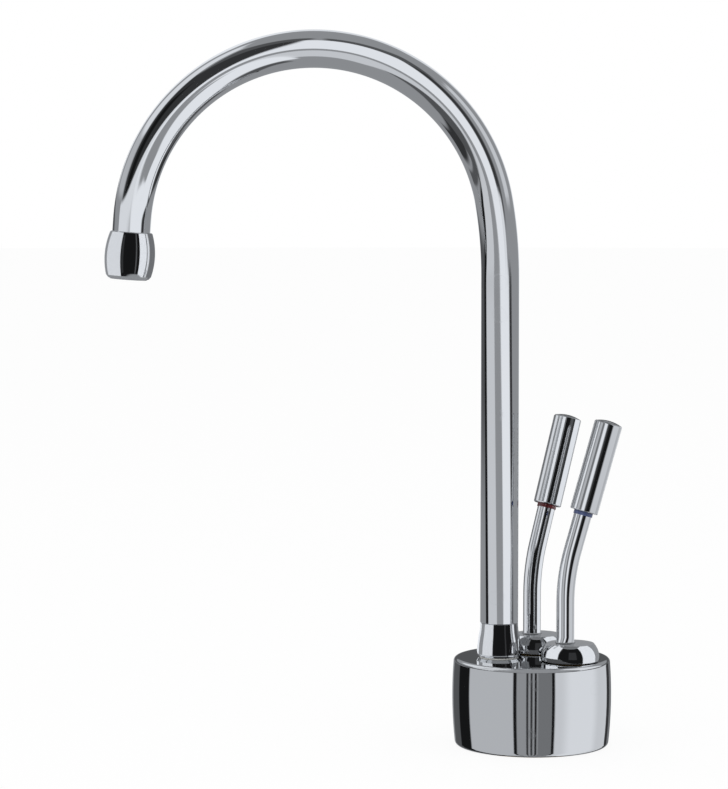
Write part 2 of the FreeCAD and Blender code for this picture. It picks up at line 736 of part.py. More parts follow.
def cartridge_body(place, azimuth):
    """The brass housing of the discs, with two windows for the water."""
    low = FLOOR_Z + SEAL_T
    shape = bar(place, low, ROOF_Z, POCKET_R)
    shape = shape.cut(bar(place, low, CARTRIDGE_ROOF_Z, CARTRIDGE_BORE_R))
    shape = shape.cut(bar(place, CARTRIDGE_ROOF_Z, ROOF_Z, STEM_R + RUN))
    step = polar(POCKET_R + 1, azimuth)
    centre = V(place[0], place[1], WINDOW_Z)
    across = V(step[0], step[1], 0)
    return shape.cut(drill(centre - across, centre + across, WINDOW_R))


def stem(place, azimuth):
    """The stem: a tongue in the moving disc, a head under the housing's roof and a shaft
    with one seal groove that carries the cap."""
    disc_top = FLOOR_Z + SEAL_T + FIXED_DISC_T + MOVING_DISC_T
    shape = block(place, disc_top - TONGUE_DEPTH, HEAD_Z, TONGUE_L, TONGUE_W, azimuth)
    shape = shape.fuse(bar(place, HEAD_Z, HEAD_Z + HEAD_T, DISC_R))
    shape = shape.fuse(bar(place, HEAD_Z + HEAD_T, STEM_TOP_Z, STEM_R))
    low = STEM_SEAL_Z - STEM_SEAL_R - STEM_SEAL_PLAY
    high = STEM_SEAL_Z + STEM_SEAL_R + STEM_SEAL_PLAY
    groove = sleeve(place, low, high, STEM_R + 1, STEM_R - 2 * STEM_SEAL_R)
    return shape.cut(groove)


def stem_o_ring(place):
    """The rubber seal on the stem."""
    return torus(place, STEM_SEAL_Z, STEM_R - STEM_SEAL_R, STEM_SEAL_R)


def bonnet_nut(place):
    """The nut that holds the cartridge and clamps the shell to the valve body."""
    shape = bar(place, ROOF_Z, BASE_H, BONNET_R)
    shape = shape.fuse(hexagon(place, BASE_H, BASE_H + BONNET_HEX_H, BONNET_FLATS))
    return shape.cut(bar(place, ROOF_Z, BASE_H + BONNET_HEX_H, STEM_R + RUN))


# ---- levers -------------------------------------------------------------------------------


def cap_screw_line(place):
    """The line of the cap's set screw, at the back: from the stem outwards."""
    start = V(place[0], place[1] + STEM_R, CAP_SCREW_Z)
    return start, start + V(0, CAP_R - STEM_R - CAP_SCREW_SUNK, 0)


def cap(place):
    """The low domed cap. It hides the bonnet nut, turns with the stem and carries the rod."""
    low = BASE_H + CAP_GAP
    top = low + CAP_H
    shape = turned([
        (0, low),
        (CAP_R - CAP_EDGE, low),
        (CAP_R, low + CAP_EDGE),
        (CAP_R, low + CAP_SHOULDER_Z),
        (CAP_PLATEAU_R, top - CAP_CROWN, (CAP_SWELL_R, low + CAP_SWELL_Z)),
        crown(CAP_PLATEAU_R, CAP_CROWN, top),
    ], place)
    hollow = bar(place, low, CAP_BORE_TOP_Z, CAP_BORE_R)
    hollow = hollow.cut(bar(place, CAP_HUB_Z, CAP_BORE_TOP_Z, CAP_HUB_R))
    shape = shape.cut(hollow)
    shape = shape.cut(bar(place, CAP_HUB_Z, STEM_TOP_Z, STEM_R))
    start, end = cap_screw_line(place)
    shape = shape.cut(drill(start, end + V(0, 2 * CAP_SCREW_R, 0), CAP_SCREW_R))
    foot = rod_foot_place(place)
    return shape.cut(bar(foot, top - ROD_STUB_L - ROD_STUB_GAP, top + 1, ROD_STUB_R))


def cap_set_screw(place):
    """The set screw that locks the cap to the stem, with its hexagon socket."""
    start, end = cap_screw_line(place)
    screw = drill(start, end, CAP_SCREW_R)
    return screw.cut(back_key(end, CAP_SCREW_KEY_DEPTH, CAP_SCREW_KEY))


def rod_foot_place(place):
    """Where the rod stands on its cap."""
    return place[0] + ROD_OFFSET, place[1]


def rod_path(place, azimuth, inside):
    """The rod's centre line: upright, then one gentle bend, then straight towards the
    grip. The last edge runs on by the length inside."""
    foot = rod_foot_place(place)
    lean = V(*polar(1, azimuth), 0)
    start = V(foot[0], foot[1], BASE_H + CAP_GAP + CAP_H)
    bend = start + UP * ROD_STRAIGHT

    def on_bend(degrees):
        angle = math.radians(degrees)
        return bend + lean * ROD_BEND_R * (1 - math.cos(angle)) + UP * ROD_BEND_R * math.sin(angle)

    end = on_bend(ROD_LEAN)
    angle = math.radians(ROD_LEAN)
    along = lean * math.sin(angle) + UP * math.cos(angle)
    edges = [
        Part.makeLine(start, bend),
        Part.Arc(bend, on_bend(ROD_LEAN / 2), end).toShape(),
        Part.makeLine(end, end + along * (ROD_TO_GRIP + inside)),
    ]
    return edges, end + along * ROD_TO_GRIP, along


def lever_rod(place, azimuth):
    """The bent rod, with a stub that stands in the cap."""
    edges, _, _ = rod_path(place, azimuth, ROD_IN_GRIP)
    foot = rod_foot_place(place)
    top = BASE_H + CAP_GAP + CAP_H
    shape = swept(edges, ROD_R)
    return shape.fuse(bar(foot, top - ROD_STUB_L, top + ROD_STUB_L, ROD_STUB_R))


def along_grip(place, azimuth, shape):
    """Moves a shape drawn about the Z axis, its foot at height 0, to the grip's foot."""
    _, foot, along = rod_path(place, azimuth, ROD_IN_GRIP)
    at_foot = FreeCAD.Placement(foot, FreeCAD.Rotation(UP, along))
    shape.Placement = at_foot.multiply(shape.Placement)
    return shape


def index_ring(place, azimuth):
    """The coloured ring between rod and grip, red for hot and blue for cold."""
    shape = sleeve((0, 0), -INDEX_T, 0, INDEX_R, ROD_R)
    return along_grip(place, azimuth, shape)


def grip(place, azimuth):
    """The cylindrical grip, bored for the rod, with a rounded edge and a slight crown."""
    edge_z = GRIP_L - GRIP_CROWN
    via = ROUND_VIA * GRIP_ROUND
    shape = turned([
        (0, 0),
        (GRIP_R - GRIP_EDGE, 0),
        (GRIP_R, GRIP_EDGE),
        (GRIP_R, edge_z - GRIP_ROUND),
        (GRIP_R - GRIP_ROUND, edge_z, (GRIP_R - via, edge_z - via)),
        crown(GRIP_R - GRIP_ROUND, GRIP_CROWN, GRIP_L),
    ])
    shape = shape.cut(bar((0, 0), 0, ROD_IN_GRIP, ROD_R))
    return along_grip(place, azimuth, shape)


# ---- all pieces ---------------------------------------------------------------------------


def base_pieces():
    """The pieces that stand still, apart from the valves' own."""
    pieces = {
        "base_shell": base_shell(),
        "valve_body": valve_body(),
        "passage_plug": passage_plug(),
        "access_plug": access_plug(),
        "spout_grub_screw": spout_grub_screw(),
        "base_ring": base_ring(),
        "deck_gasket": deck_gasket(),
        "shank": shank(),
        "rubber_washer": rubber_washer(),
        "steel_washer": steel_washer(),
        "shank_nut": shank_nut(),
        "swivel_bush": swivel_bush(),
        "slip_washer": slip_washer(),
    }
    for number, azimuth in enumerate(FIXING_AZIMUTHS, 1):
        pieces[f"fixing_screw_{number}"] = fixing_screw(azimuth)
    for name in TAILS:
        pieces[f"tail_{name}"] = inlet_tail(name)
    return pieces


def spout_pieces():
    """The pieces that turn with the spout."""
    pieces = {
        "spout_tube": spout_tube(),
        "spout_collar": spout_collar(),
        "spout_spigot": spout_spigot(),
        "outlet_housing": outlet_housing(),
        "outlet_washer": outlet_washer(),
        "flow_straightener": flow_straightener(),
        "outlet_ring": outlet_ring(),
    }
    for name, height in O_RING_HEIGHTS.items():
        pieces[f"spigot_o_ring_{name}"] = spigot_o_ring(height)
    return pieces


def valve_pieces(name):
    """One valve's still pieces and the pieces that turn with its lever."""
    place, azimuth = VALVES[name]
    pieces = {
        "seat_seal": seat_seal(place),
        "fixed_disc": fixed_disc(place, azimuth),
        "cartridge_body": cartridge_body(place, azimuth),
        "bonnet_nut": bonnet_nut(place),
        "moving_disc": moving_disc(place, azimuth),
        "stem": stem(place, azimuth),
        "stem_o_ring": stem_o_ring(place),
        "cap": cap(place),
        "cap_set_screw": cap_set_screw(place),
        "lever_rod": lever_rod(place, azimuth),
        "index_ring": index_ring(place, azimuth),
        "grip": grip(place, azimuth),
    }
    return {f"{name}_{piece}": shape for piece, shape in pieces.items()}


def main():
    """Writes one STEP file for each piece."""
    os.makedirs("parts", exist_ok=True)
    pieces = {**base_pieces(), **spout_pieces()}
    for name in VALVES:
        pieces.update(valve_pieces(name))
    for name, shape in pieces.items():
        solids = shape.Solids
        if not shape.isValid() or len(solids) != 1:
            raise SystemExit(f"{name}: valid {shape.isValid()}, {len(solids)} solids")
        solids[0].exportStep(f"parts/{name}.step")
    tube = pieces["spout_tube"]
    length = sum(edge.Length for edge in spout_path()[0])
    section = math.pi * (TUBE_R ** 2 - TUBE_BORE_R ** 2)
    print(f"{len(pieces)} pieces")
    print(f"spout tube {tube.Volume:.1f} mm3, its section times its length {section * length:.1f}")


main()
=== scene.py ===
import json
import math

import bmesh
import bpy
from bpy.props import FloatProperty, FloatVectorProperty, IntProperty, PointerProperty
from mathutils import Matrix, Vector

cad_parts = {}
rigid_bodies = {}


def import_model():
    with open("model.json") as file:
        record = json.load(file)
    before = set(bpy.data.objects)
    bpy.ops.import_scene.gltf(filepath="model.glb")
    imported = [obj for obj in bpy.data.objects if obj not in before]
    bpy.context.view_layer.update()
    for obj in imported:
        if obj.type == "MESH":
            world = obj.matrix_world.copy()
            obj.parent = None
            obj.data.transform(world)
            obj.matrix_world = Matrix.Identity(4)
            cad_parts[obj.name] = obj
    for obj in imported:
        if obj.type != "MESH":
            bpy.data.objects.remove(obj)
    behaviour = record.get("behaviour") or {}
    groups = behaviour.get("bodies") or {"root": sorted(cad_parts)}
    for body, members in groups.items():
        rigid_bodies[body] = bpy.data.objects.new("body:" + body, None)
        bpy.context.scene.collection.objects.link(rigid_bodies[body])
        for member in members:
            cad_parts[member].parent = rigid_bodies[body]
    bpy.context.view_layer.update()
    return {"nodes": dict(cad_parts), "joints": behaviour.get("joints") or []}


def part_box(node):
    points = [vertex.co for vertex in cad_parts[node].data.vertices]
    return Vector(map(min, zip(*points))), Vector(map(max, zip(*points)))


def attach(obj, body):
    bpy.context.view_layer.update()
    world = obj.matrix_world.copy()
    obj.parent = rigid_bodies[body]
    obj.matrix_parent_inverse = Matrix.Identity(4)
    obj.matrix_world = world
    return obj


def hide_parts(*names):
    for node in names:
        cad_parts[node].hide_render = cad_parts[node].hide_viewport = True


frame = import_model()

# The looks of a two-lever boiling water tap: finishes for every piece of the packed model,
# and finer pieces in place of the spout's tube, the lever rods, the colour rings, the
# threaded shank and the flow straightener. Metres, in the packed model's own frame.

bl_info = {
    "name": "Boiling water tap looks",
    "version": (1, 0, 0),
    "blender": (4, 5, 0),
    "location": "3D View > Sidebar > Tap",
    "description": "Builds the finishes, the fine pieces and the studio of a chromed tap",
    "category": "Object",
}

NODES = frame["nodes"]
JOINT_AT = {joint["name"]: Vector(joint["pos_m"]) for joint in frame["joints"]}
MM = 0.001
UP = Vector((0, 0, 1))
ROUND_SIDES = 96             # sides of the turned pieces and of the floor

FILM = 36.0                  # the camera's film along the picture's longer side, in mm
PHOTO_HEIGHT = 789.0         # the photograph's longer side, in pixels
FOCAL_PIXELS = 3000.0        # focal length, in the photograph's pixels


def slot_name(slot):
    """The record's name for a piece's material slot."""
    return slot.material.name.split(".")[0]


# Read at the start, because the finishes take the place of these materials later.
SHANK_SLOT = slot_name(NODES["shank"].material_slots[0])
PLATE_SLOT = slot_name(NODES["flow_straightener"].material_slots[0])


# ---- sizes and colours that a user would change -------------------------------------------


class TapSpoutSizes(bpy.types.PropertyGroup):
    """Sizes of the spout's tube, as in the part's source."""
    tube_radius: FloatProperty(
        name="Tube radius", description="Outer radius of the tube",
        default=8.0 * MM, min=0.001, unit="LENGTH")
    wall: FloatProperty(
        name="Wall", description="Thickness of the tube's wall",
        default=1.3 * MM, min=0.0001, unit="LENGTH")
    foot_height: FloatProperty(
        name="Foot height", description="Where the tube starts, above the base's top",
        default=14.8 * MM, unit="LENGTH")
    post_height: FloatProperty(
        name="Post height", description="Where the first bend starts, above the base's top",
        default=160.7 * MM, unit="LENGTH")
    ease_radius: FloatProperty(
        name="First bend", description="Radius of the gentle first bend",
        default=182.0 * MM, unit="LENGTH")
    ease_angle: FloatProperty(
        name="First bend's angle", description="How far the gentle first bend turns",
        default=math.radians(10.0), subtype="ANGLE")
    arch_radius: FloatProperty(
        name="Arch", description="Radius of the arch's centre line",
        default=76.5 * MM, unit="LENGTH")
    arch_end: FloatProperty(
        name="Arch's end", description="Direction in which the arch ends",
        default=math.radians(175.8), subtype="ANGLE")
    straight_end: FloatProperty(
        name="Straight end", description="Straight stretch of tube after the arch",
        default=5.5 * MM, unit="LENGTH")
    in_housing: FloatProperty(
        name="In the housing", description="How deep the tube stands in the outlet housing",
        default=7.0 * MM, unit="LENGTH")
    sides: IntProperty(name="Sides", description="Sides of the tube", default=96, min=12)


class TapLeverSizes(bpy.types.PropertyGroup):
    """Sizes of the lever rods and their colour rings, as in the part's source."""
    rod_radius: FloatProperty(
        name="Rod radius", description="Radius of the rod",
        default=3.75 * MM, unit="LENGTH")
    rod_offset: FloatProperty(
        name="Rod offset", description="Rod's place on its cap, along X from the cap's axis",
        default=-2.1 * MM, unit="LENGTH")
    cap_top: FloatProperty(
        name="Cap height", description="Top of the caps, above the base's top",
        default=7.8 * MM, unit="LENGTH")
    stub_radius: FloatProperty(
        name="Stub radius", description="Radius of the rod's stub in the cap",
        default=2.5 * MM, unit="LENGTH")
    stub_length: FloatProperty(
        name="Stub length", description="Length of the rod's stub in the cap",
        default=1.2 * MM, unit="LENGTH")
    upright: FloatProperty(
        name="Upright", description="Length of the rod before its bend",
        default=16.8 * MM, unit="LENGTH")
    bend_radius: FloatProperty(
        name="Bend radius", description="Radius of the rod's bend",
        default=75.0 * MM, unit="LENGTH")
    lean: FloatProperty(
        name="Lean", description="How far the grip leans from upright",
        default=math.radians(17.0), subtype="ANGLE")
    to_grip: FloatProperty(
        name="To the grip", description="Straight length from the bend to the grip",
        default=16.8 * MM, unit="LENGTH")
    in_grip: FloatProperty(
        name="In the grip", description="How deep the rod stands in the grip",
        default=14.0 * MM, unit="LENGTH")
    cold_azimuth: FloatProperty(
        name="Cold lever", description="Direction in which the shut cold lever leans",
        default=math.radians(22.0), subtype="ANGLE")
    hot_azimuth: FloatProperty(
        name="Hot lever", description="Direction in which the shut hot lever leans",
        default=math.radians(38.0), subtype="ANGLE")
    foot_weld: FloatProperty(
        name="Foot weld", description="Size of the polished weld round the rod's foot",
        default=0.45 * MM, unit="LENGTH")
    ring_radius: FloatProperty(
        name="Ring radius", description="Outer radius of the colour ring",
        default=4.05 * MM, unit="LENGTH")
    ring_height: FloatProperty(
        name="Ring height", description="Height of the colour ring",
        default=1.7 * MM, unit="LENGTH")
    ring_round: FloatProperty(
        name="Ring rounding", description="Rounding of the colour ring's edges",
        default=0.22 * MM, unit="LENGTH")
    sides: IntProperty(name="Sides", description="Sides of the rods", default=64, min=12)


class TapShankSizes(bpy.types.PropertyGroup):
    """Sizes of the threaded shank under the base."""
    crest: FloatProperty(
        name="Crest radius", description="Outer radius of the thread and of the plain stretch",
        default=16.0 * MM, unit="LENGTH")
    root: FloatProperty(
        name="Root radius", description="Radius at the bottom of the thread",
        default=15.1 * MM, unit="LENGTH")
    neck: FloatProperty(
        name="Neck radius", description="Radius of the neck in the valve body",
        default=15.0 * MM, unit="LENGTH")
    bore: FloatProperty(
        name="Bore radius", description="Radius of the bore for the inlet tails",
        default=12.5 * MM, unit="LENGTH")
    plain: FloatProperty(
        name="Plain stretch", description="Unthreaded length below the base",
        default=12.0 * MM, unit="LENGTH")
    pitch: FloatProperty(
        name="Pitch", description="Rise of the thread in one turn",
        default=2.0 * MM, unit="LENGTH")


class TapOutletSizes(bpy.types.PropertyGroup):
    """Sizes of the honeycomb that straightens the stream."""
    radius: FloatProperty(
        name="Radius", description="Outer radius of the honeycomb plate",
        default=8.2 * MM, unit="LENGTH")
    rim: FloatProperty(
        name="Rim", description="Width of the plate's solid rim",
        default=1.0 * MM, unit="LENGTH")
    thickness: FloatProperty(
        name="Thickness", description="Thickness of the plate",
        default=2.6 * MM, unit="LENGTH")
    seat: FloatProperty(
        name="Seat", description="Top of the plate, below the housing's top edge",
        default=11.0 * MM, unit="LENGTH")
    cell: FloatProperty(
        name="Cell", description="Distance between the honeycomb's cells",
        default=1.9 * MM, unit="LENGTH")
    cell_wall: FloatProperty(
        name="Cell wall", description="Thickness of the walls between the cells",
        default=0.28 * MM, unit="LENGTH")


class TapFinishes(bpy.types.PropertyGroup):
    """Colours and gloss of the finishes."""
    chrome: FloatVectorProperty(
        name="Chrome", description="Colour of the chrome plate",
        default=(0.80, 0.81, 0.82), subtype="COLOR", min=0, max=1)
    chrome_roughness: FloatProperty(
        name="Chrome roughness", description="Roughness of the clean chrome plate",
        default=0.035, min=0, max=1, subtype="FACTOR")
    brass: FloatVectorProperty(
        name="Brass", description="Colour of the machined brass",
        default=(0.72, 0.53, 0.25), subtype="COLOR", min=0, max=1)
    steel: FloatVectorProperty(
        name="Steel", description="Colour of the stainless steel",
        default=(0.58, 0.58, 0.57), subtype="COLOR", min=0, max=1)
    rubber: FloatVectorProperty(
        name="Rubber", description="Colour of the seals and the gasket",
        default=(0.025, 0.025, 0.027), subtype="COLOR", min=0, max=1)
    plastic: FloatVectorProperty(
        name="Plastic", description="Colour of the moulded bearing pieces",
        default=(0.78, 0.78, 0.74), subtype="COLOR", min=0, max=1)
    ceramic: FloatVectorProperty(
        name="Ceramic", description="Colour of the valve discs",
        default=(0.90, 0.88, 0.83), subtype="COLOR", min=0, max=1)
    hot_mark: FloatVectorProperty(
        name="Hot mark", description="Colour of the hot lever's ring",
        default=(0.10, 0.004, 0.006), subtype="COLOR", min=0, max=1)
    cold_mark: FloatVectorProperty(
        name="Cold mark", description="Colour of the cold lever's ring",
        default=(0.045, 0.065, 0.16), subtype="COLOR", min=0, max=1)


class TapStudio(bpy.types.PropertyGroup):
    """The floor, the light and the camera."""
    floor: FloatVectorProperty(
        name="Floor", description="Colour of the floor",
        default=(0.95, 0.95, 0.95), subtype="COLOR", min=0, max=1)
    floor_size: FloatProperty(
        name="Floor size", description="Radius of the floor",
        default=9.0, unit="LENGTH")
    floor_glow: FloatProperty(
        name="Floor whiteness", description="Share of plain white in what is seen of the floor",
        default=0.9, min=0, max=1, subtype="FACTOR")
    key_power: FloatProperty(
        name="Key light", description="Power of the large soft lamp",
        default=4.0, unit="POWER")
    fill_power: FloatProperty(
        name="Fill light", description="Power of the smaller soft lamp",
        default=1.5, unit="POWER")
    surround: FloatProperty(
        name="Surround", description="Strength of the even light from all round",
        default=0.9, min=0)
    lens: FloatProperty(
        name="Lens", description="Focal length of the camera",
        default=FILM * FOCAL_PIXELS / PHOTO_HEIGHT, subtype="DISTANCE_CAMERA")
    camera_place: FloatVectorProperty(
        name="Camera", description="Where the camera stands",
        default=(-0.03175, -1.2570, 0.2390), subtype="TRANSLATION")
    camera_turn: FloatProperty(
        name="Camera's turn", description="Turn of the camera towards the spout's side",
        default=0.0311, subtype="ANGLE")
    camera_tilt: FloatProperty(
        name="Camera's tilt", description="How far the camera looks down",
        default=0.0723, subtype="ANGLE")


PROPERTY_GROUPS = {
    "tap_spout": TapSpoutSizes,
    "tap_levers": TapLeverSizes,
    "tap_shank": TapShankSizes,
    "tap_outlet": TapOutletSizes,
    "tap_finishes": TapFinishes,
    "tap_studio": TapStudio,
}


# ---- node helpers --------------------------------------------------------------------------


MIX_COLOURS = (6, 7)         # where a Mix node has its two colours among its inputs
MIXED_COLOUR = 2             # and the mixed one among its outputs


def feed(tree, node, inputs):
    """Feeds a node's inputs, each with a plain value or a link from a socket or a node."""
    for name, value in inputs.items():
        socket = node.inputs[name]
        if isinstance(value, bpy.types.Node):
            value = value.outputs[0]
        if isinstance(value, bpy.types.NodeSocket):
            tree.links.new(value, socket)
        else:
            socket.default_value = value


def add_node(tree, kind, inputs=None, **settings):
    """Adds a node, sets its properties and feeds its inputs."""
    node = tree.nodes.new(kind)
    for name, value in settings.items():
        setattr(node, name, value)
    feed(tree, node, inputs or {})
    return node


def new_group(name, kind, inputs, outputs):
    """A node group with named sockets: (name, socket type, default or None)."""
    tree = bpy.data.node_groups.new(name, kind)
    for label, socket_type, default in inputs:
        socket = tree.interface.new_socket(label, in_out="INPUT", socket_type=socket_type)
        if default is not None:
            socket.default_value = default
    for label, socket_type in outputs:
        tree.interface.new_socket(label, in_out="OUTPUT", socket_type=socket_type)
    return tree, tree.nodes.new("NodeGroupInput").outputs, tree.nodes.new("NodeGroupOutput")


def math_node(tree, operation, first, second=None, clamp=False):
    """A Math node's output."""
    inputs = {0: first} if second is None else {0: first, 1: second}
    return add_node(tree, "ShaderNodeMath", inputs, operation=operation, use_clamp=clamp).outputs[0]


def times(tree, first, second):
    """The product of two values."""
    return math_node(tree, "MULTIPLY", first, second)


def map_range(tree, value, low, high, to_low=0.0, to_high=1.0):
    """A clamped Map Range node's output."""
    node = add_node(tree, "ShaderNodeMapRange", {
        "Value": value, "From Min": low, "From Max": high, "To Min": to_low, "To Max": to_high})
    return node.outputs["Result"]


def mix_colour(tree, share, first, second):
    """A colour between two plain colours."""
    inputs = {0: share}
    for place, colour in zip(MIX_COLOURS, (first, second)):
        inputs[place] = (*colour, 1.0)
    return add_node(tree, "ShaderNodeMix", inputs, data_type="RGBA").outputs[MIXED_COLOUR]


# ---- shared surface effects ----------------------------------------------------------------


def object_place(tree):
    """Where a point of the surface is, in the piece's own frame."""
    return add_node(tree, "ShaderNodeTexCoord").outputs["Object"]


def water_marks_group():
    """Dried drops: thin rims and faint centres, scattered over a surface."""
    tree, given, out = new_group(
        "dried drops", "ShaderNodeTree",
        [("Drops per metre", "NodeSocketFloat", 90.0), ("Share", "NodeSocketFloat", 0.3)],
        [("Mask", "NodeSocketFloat")])
    bend = 4 * MM                        # how far the drops' outlines wander
    smallest, largest = 0.12, 0.30       # the drops' radii, in cells
    rim_width, blur = 0.05, 0.02
    centre = 0.25                        # how strong a drop's middle is beside its rim
    place = object_place(tree)
    wander = add_node(tree, "ShaderNodeTexNoise", {"Vector": place, "Scale": 160.0, "Detail": 2.0})
    bent = add_node(tree, "ShaderNodeVectorMath", {
        0: wander.outputs["Color"], "Scale": bend}, operation="SCALE")
    moved = add_node(tree, "ShaderNodeVectorMath", {0: place, 1: bent}, operation="ADD")
    cells = add_node(tree, "ShaderNodeTexVoronoi", {
        "Vector": moved, "Scale": given["Drops per metre"], "Randomness": 1.0})
    pick = add_node(tree, "ShaderNodeSeparateColor", {"Color": cells.outputs["Color"]})
    chosen = math_node(tree, "LESS_THAN", pick.outputs[0], given["Share"])
    size = map_range(tree, pick.outputs[1], 0.0, 1.0, smallest, largest)
    edge = math_node(tree, "SUBTRACT", cells.outputs["Distance"], size)
    rim = map_range(tree, math_node(tree, "ABSOLUTE", edge), 0.0, rim_width, 1.0, 0.0)
    inside = map_range(tree, edge, -blur, blur, centre, 0.0)
    drop = math_node(tree, "MAXIMUM", rim, inside)
    feed(tree, out, {"Mask": times(tree, drop, chosen)})
    return tree


def wiping_group():
    """Faint cloudy smears, as a cloth leaves them."""
    tree, given, out = new_group(
        "wiped smears", "ShaderNodeTree",
        [("Scale", "NodeSocketFloat", 35.0), ("Stretch", "NodeSocketFloat", 0.35)],
        [("Mask", "NodeSocketFloat")])
    clean, smeared = 0.42, 0.72          # the noise that leaves no smear and a full one
    squeeze = add_node(tree, "ShaderNodeCombineXYZ", {"X": 1.0, "Y": 1.0, "Z": given["Stretch"]})
    stretched = add_node(tree, "ShaderNodeVectorMath", {
        0: object_place(tree), 1: squeeze}, operation="MULTIPLY")
    noise = add_node(tree, "ShaderNodeTexNoise", {
        "Vector": stretched, "Scale": given["Scale"], "Detail": 4.0,
        "Roughness": 0.6, "Distortion": 0.8})
    feed(tree, out, {"Mask": map_range(tree, noise.outputs["Fac"], clean, smeared)})
    return tree


def turning_group():
    """Fine level grooves, as a lathe leaves them round an upright axis."""
    tree, given, out = new_group(
        "turning marks", "ShaderNodeTree",
        [("Grooves per metre", "NodeSocketFloat", 5000.0), ("Depth", "NodeSocketFloat", 0.3)],
        [("Mask", "NodeSocketFloat"), ("Normal", "NodeSocketVector")])
    place = object_place(tree)
    parts = add_node(tree, "ShaderNodeSeparateXYZ", {"Vector": place})
    uneven = add_node(tree, "ShaderNodeTexNoise", {"Vector": place, "Scale": 300.0, "Detail": 3.0})
    drift = times(tree, uneven.outputs["Fac"], 0.35 * MM)
    height = math_node(tree, "ADD", parts.outputs["Z"], drift)
    turns = times(tree, height, given["Grooves per metre"])
    wave = math_node(tree, "SINE", times(tree, turns, 2 * math.pi))
    mask = map_range(tree, wave, -1.0, 1.0)
    bump = add_node(tree, "ShaderNodeBump", {
        "Strength": given["Depth"], "Distance": 0.04 * MM, "Height": mask})
    feed(tree, out, {"Mask": mask, "Normal": bump})
    return tree


def grain_group():
    """Fine uneven grain, as on moulded rubber, plastic and lapped ceramic."""
    tree, given, out = new_group(
        "fine grain", "ShaderNodeTree",
        [("Grains per metre", "NodeSocketFloat", 2500.0), ("Depth", "NodeSocketFloat", 0.3)],
        [("Mask", "NodeSocketFloat"), ("Normal", "NodeSocketVector")])
    noise = add_node(tree, "ShaderNodeTexNoise", {
        "Vector": object_place(tree), "Scale": given["Grains per metre"],
        "Detail": 5.0, "Roughness": 0.65}).outputs["Fac"]
    bump = add_node(tree, "ShaderNodeBump", {
        "Strength": given["Depth"], "Distance": 0.06 * MM, "Height": noise})
    feed(tree, out, {"Mask": noise, "Normal": bump})
    return tree


EFFECT_MAKERS = {"drops": water_marks_group, "smears": wiping_group,
                 "turning": turning_group, "grain": grain_group}
EFFECTS = {}


def effect(tree, name, outputs, **values):
    """Places a shared effect in a material and sets its named inputs."""
    if name not in EFFECTS:
        EFFECTS[name] = EFFECT_MAKERS[name]()
    node = add_node(tree, "ShaderNodeGroup", node_tree=EFFECTS[name])
    for label, value in values.items():
        node.inputs[label.replace("_", " ")].default_value = value
    return [node.outputs[label] for label in outputs]


# ---- finishes ------------------------------------------------------------------------------


def new_material(name):
    """An empty material with a Principled BSDF: the material, its tree and the shader."""
    material = bpy.data.materials.new(name)
    material.use_nodes = True
    tree = material.node_tree
    return material, tree, tree.nodes["Principled BSDF"]


def chrome_finish(name, colour):
    """Bright chrome plate with a few dried drops and faint wiping."""
    smear_dulling, drop_dulling = 0.03, 0.05
    drop_tone, drop_cover = 0.965, 0.5
    _, tree, shader = new_material(name)
    (drops,) = effect(tree, "drops", ["Mask"], Drops_per_metre=75.0, Share=0.16)
    (smears,) = effect(tree, "smears", ["Mask"], Scale=28.0, Stretch=0.4)
    clean = bpy.context.scene.tap_finishes.chrome_roughness
    wiped = map_range(tree, smears, 0.0, 1.0, clean, clean + smear_dulling)
    hazy = tuple(drop_tone * channel for channel in colour)
    feed(tree, shader, {
        "Base Color": mix_colour(tree, times(tree, drops, drop_cover), colour, hazy),
        "Roughness": math_node(tree, "ADD", wiped, times(tree, drops, drop_dulling)),
        "Metallic": 1.0})


def machined_finish(name, colour, tarnish, grooves, depth, roughness):
    """Machined metal: lathe grooves, uneven tarnish and a soft shine."""
    groove_dulling, tarnish_dulling = 0.08, 0.1
    _, tree, shader = new_material(name)
    mask, normal = effect(tree, "turning", ["Mask", "Normal"], Grooves_per_metre=grooves, Depth=depth)
    (smears,) = effect(tree, "smears", ["Mask"], Scale=90.0, Stretch=1.0)
    dark = tuple(channel * tarnish for channel in colour)
    grooved = map_range(tree, mask, 0.0, 1.0, roughness, roughness + groove_dulling)
    feed(tree, shader, {
        "Base Color": mix_colour(tree, smears, colour, dark),
        "Roughness": math_node(tree, "ADD", grooved, times(tree, smears, tarnish_dulling)),
        "Normal": normal,
        "Metallic": 1.0})


def moulded_finish(name, colour, pale, grains, depth, roughness, pale_cover=0.35):
    """Moulded or pressed material: fine grain and faint paler patches. Returns its shader."""
    lift, shine, dulling = 0.01, 0.06, 0.08
    smooth_grain, rough_grain = 0.3, 0.7       # about where the grain's noise begins and ends
    _, tree, shader = new_material(name)
    mask, normal = effect(tree, "grain", ["Mask", "Normal"], Grains_per_metre=grains, Depth=depth)
    (smears,) = effect(tree, "smears", ["Mask"], Scale=120.0, Stretch=1.0)
    lighter = tuple(min(1.0, channel * pale + lift) for channel in colour)
    feed(tree, shader, {
        "Base Color": mix_colour(tree, times(tree, smears, pale_cover), colour, lighter),
        "Roughness": map_range(
            tree, mask, smooth_grain, rough_grain, roughness - shine, roughness + dulling),
        "Normal": normal})
    return shader


def brass_finish(name, colour):
    """Machined brass, tarnished in places."""
    machined_finish(name, colour, tarnish=0.72, grooves=4200.0, depth=0.35, roughness=0.24)


def steel_finish(name, colour):
    """Turned stainless steel."""
    machined_finish(name, colour, tarnish=0.8, grooves=5200.0, depth=0.3, roughness=0.27)


def rubber_finish(name, colour):
    """Dull rubber with a dusty grain."""
    moulded_finish(name, colour, pale=2.2, grains=2200.0, depth=0.5, roughness=0.62)


def plastic_finish(name, colour):
    """Moulded bearing plastic."""
    moulded_finish(name, colour, pale=1.08, grains=1500.0, depth=0.15, roughness=0.42)


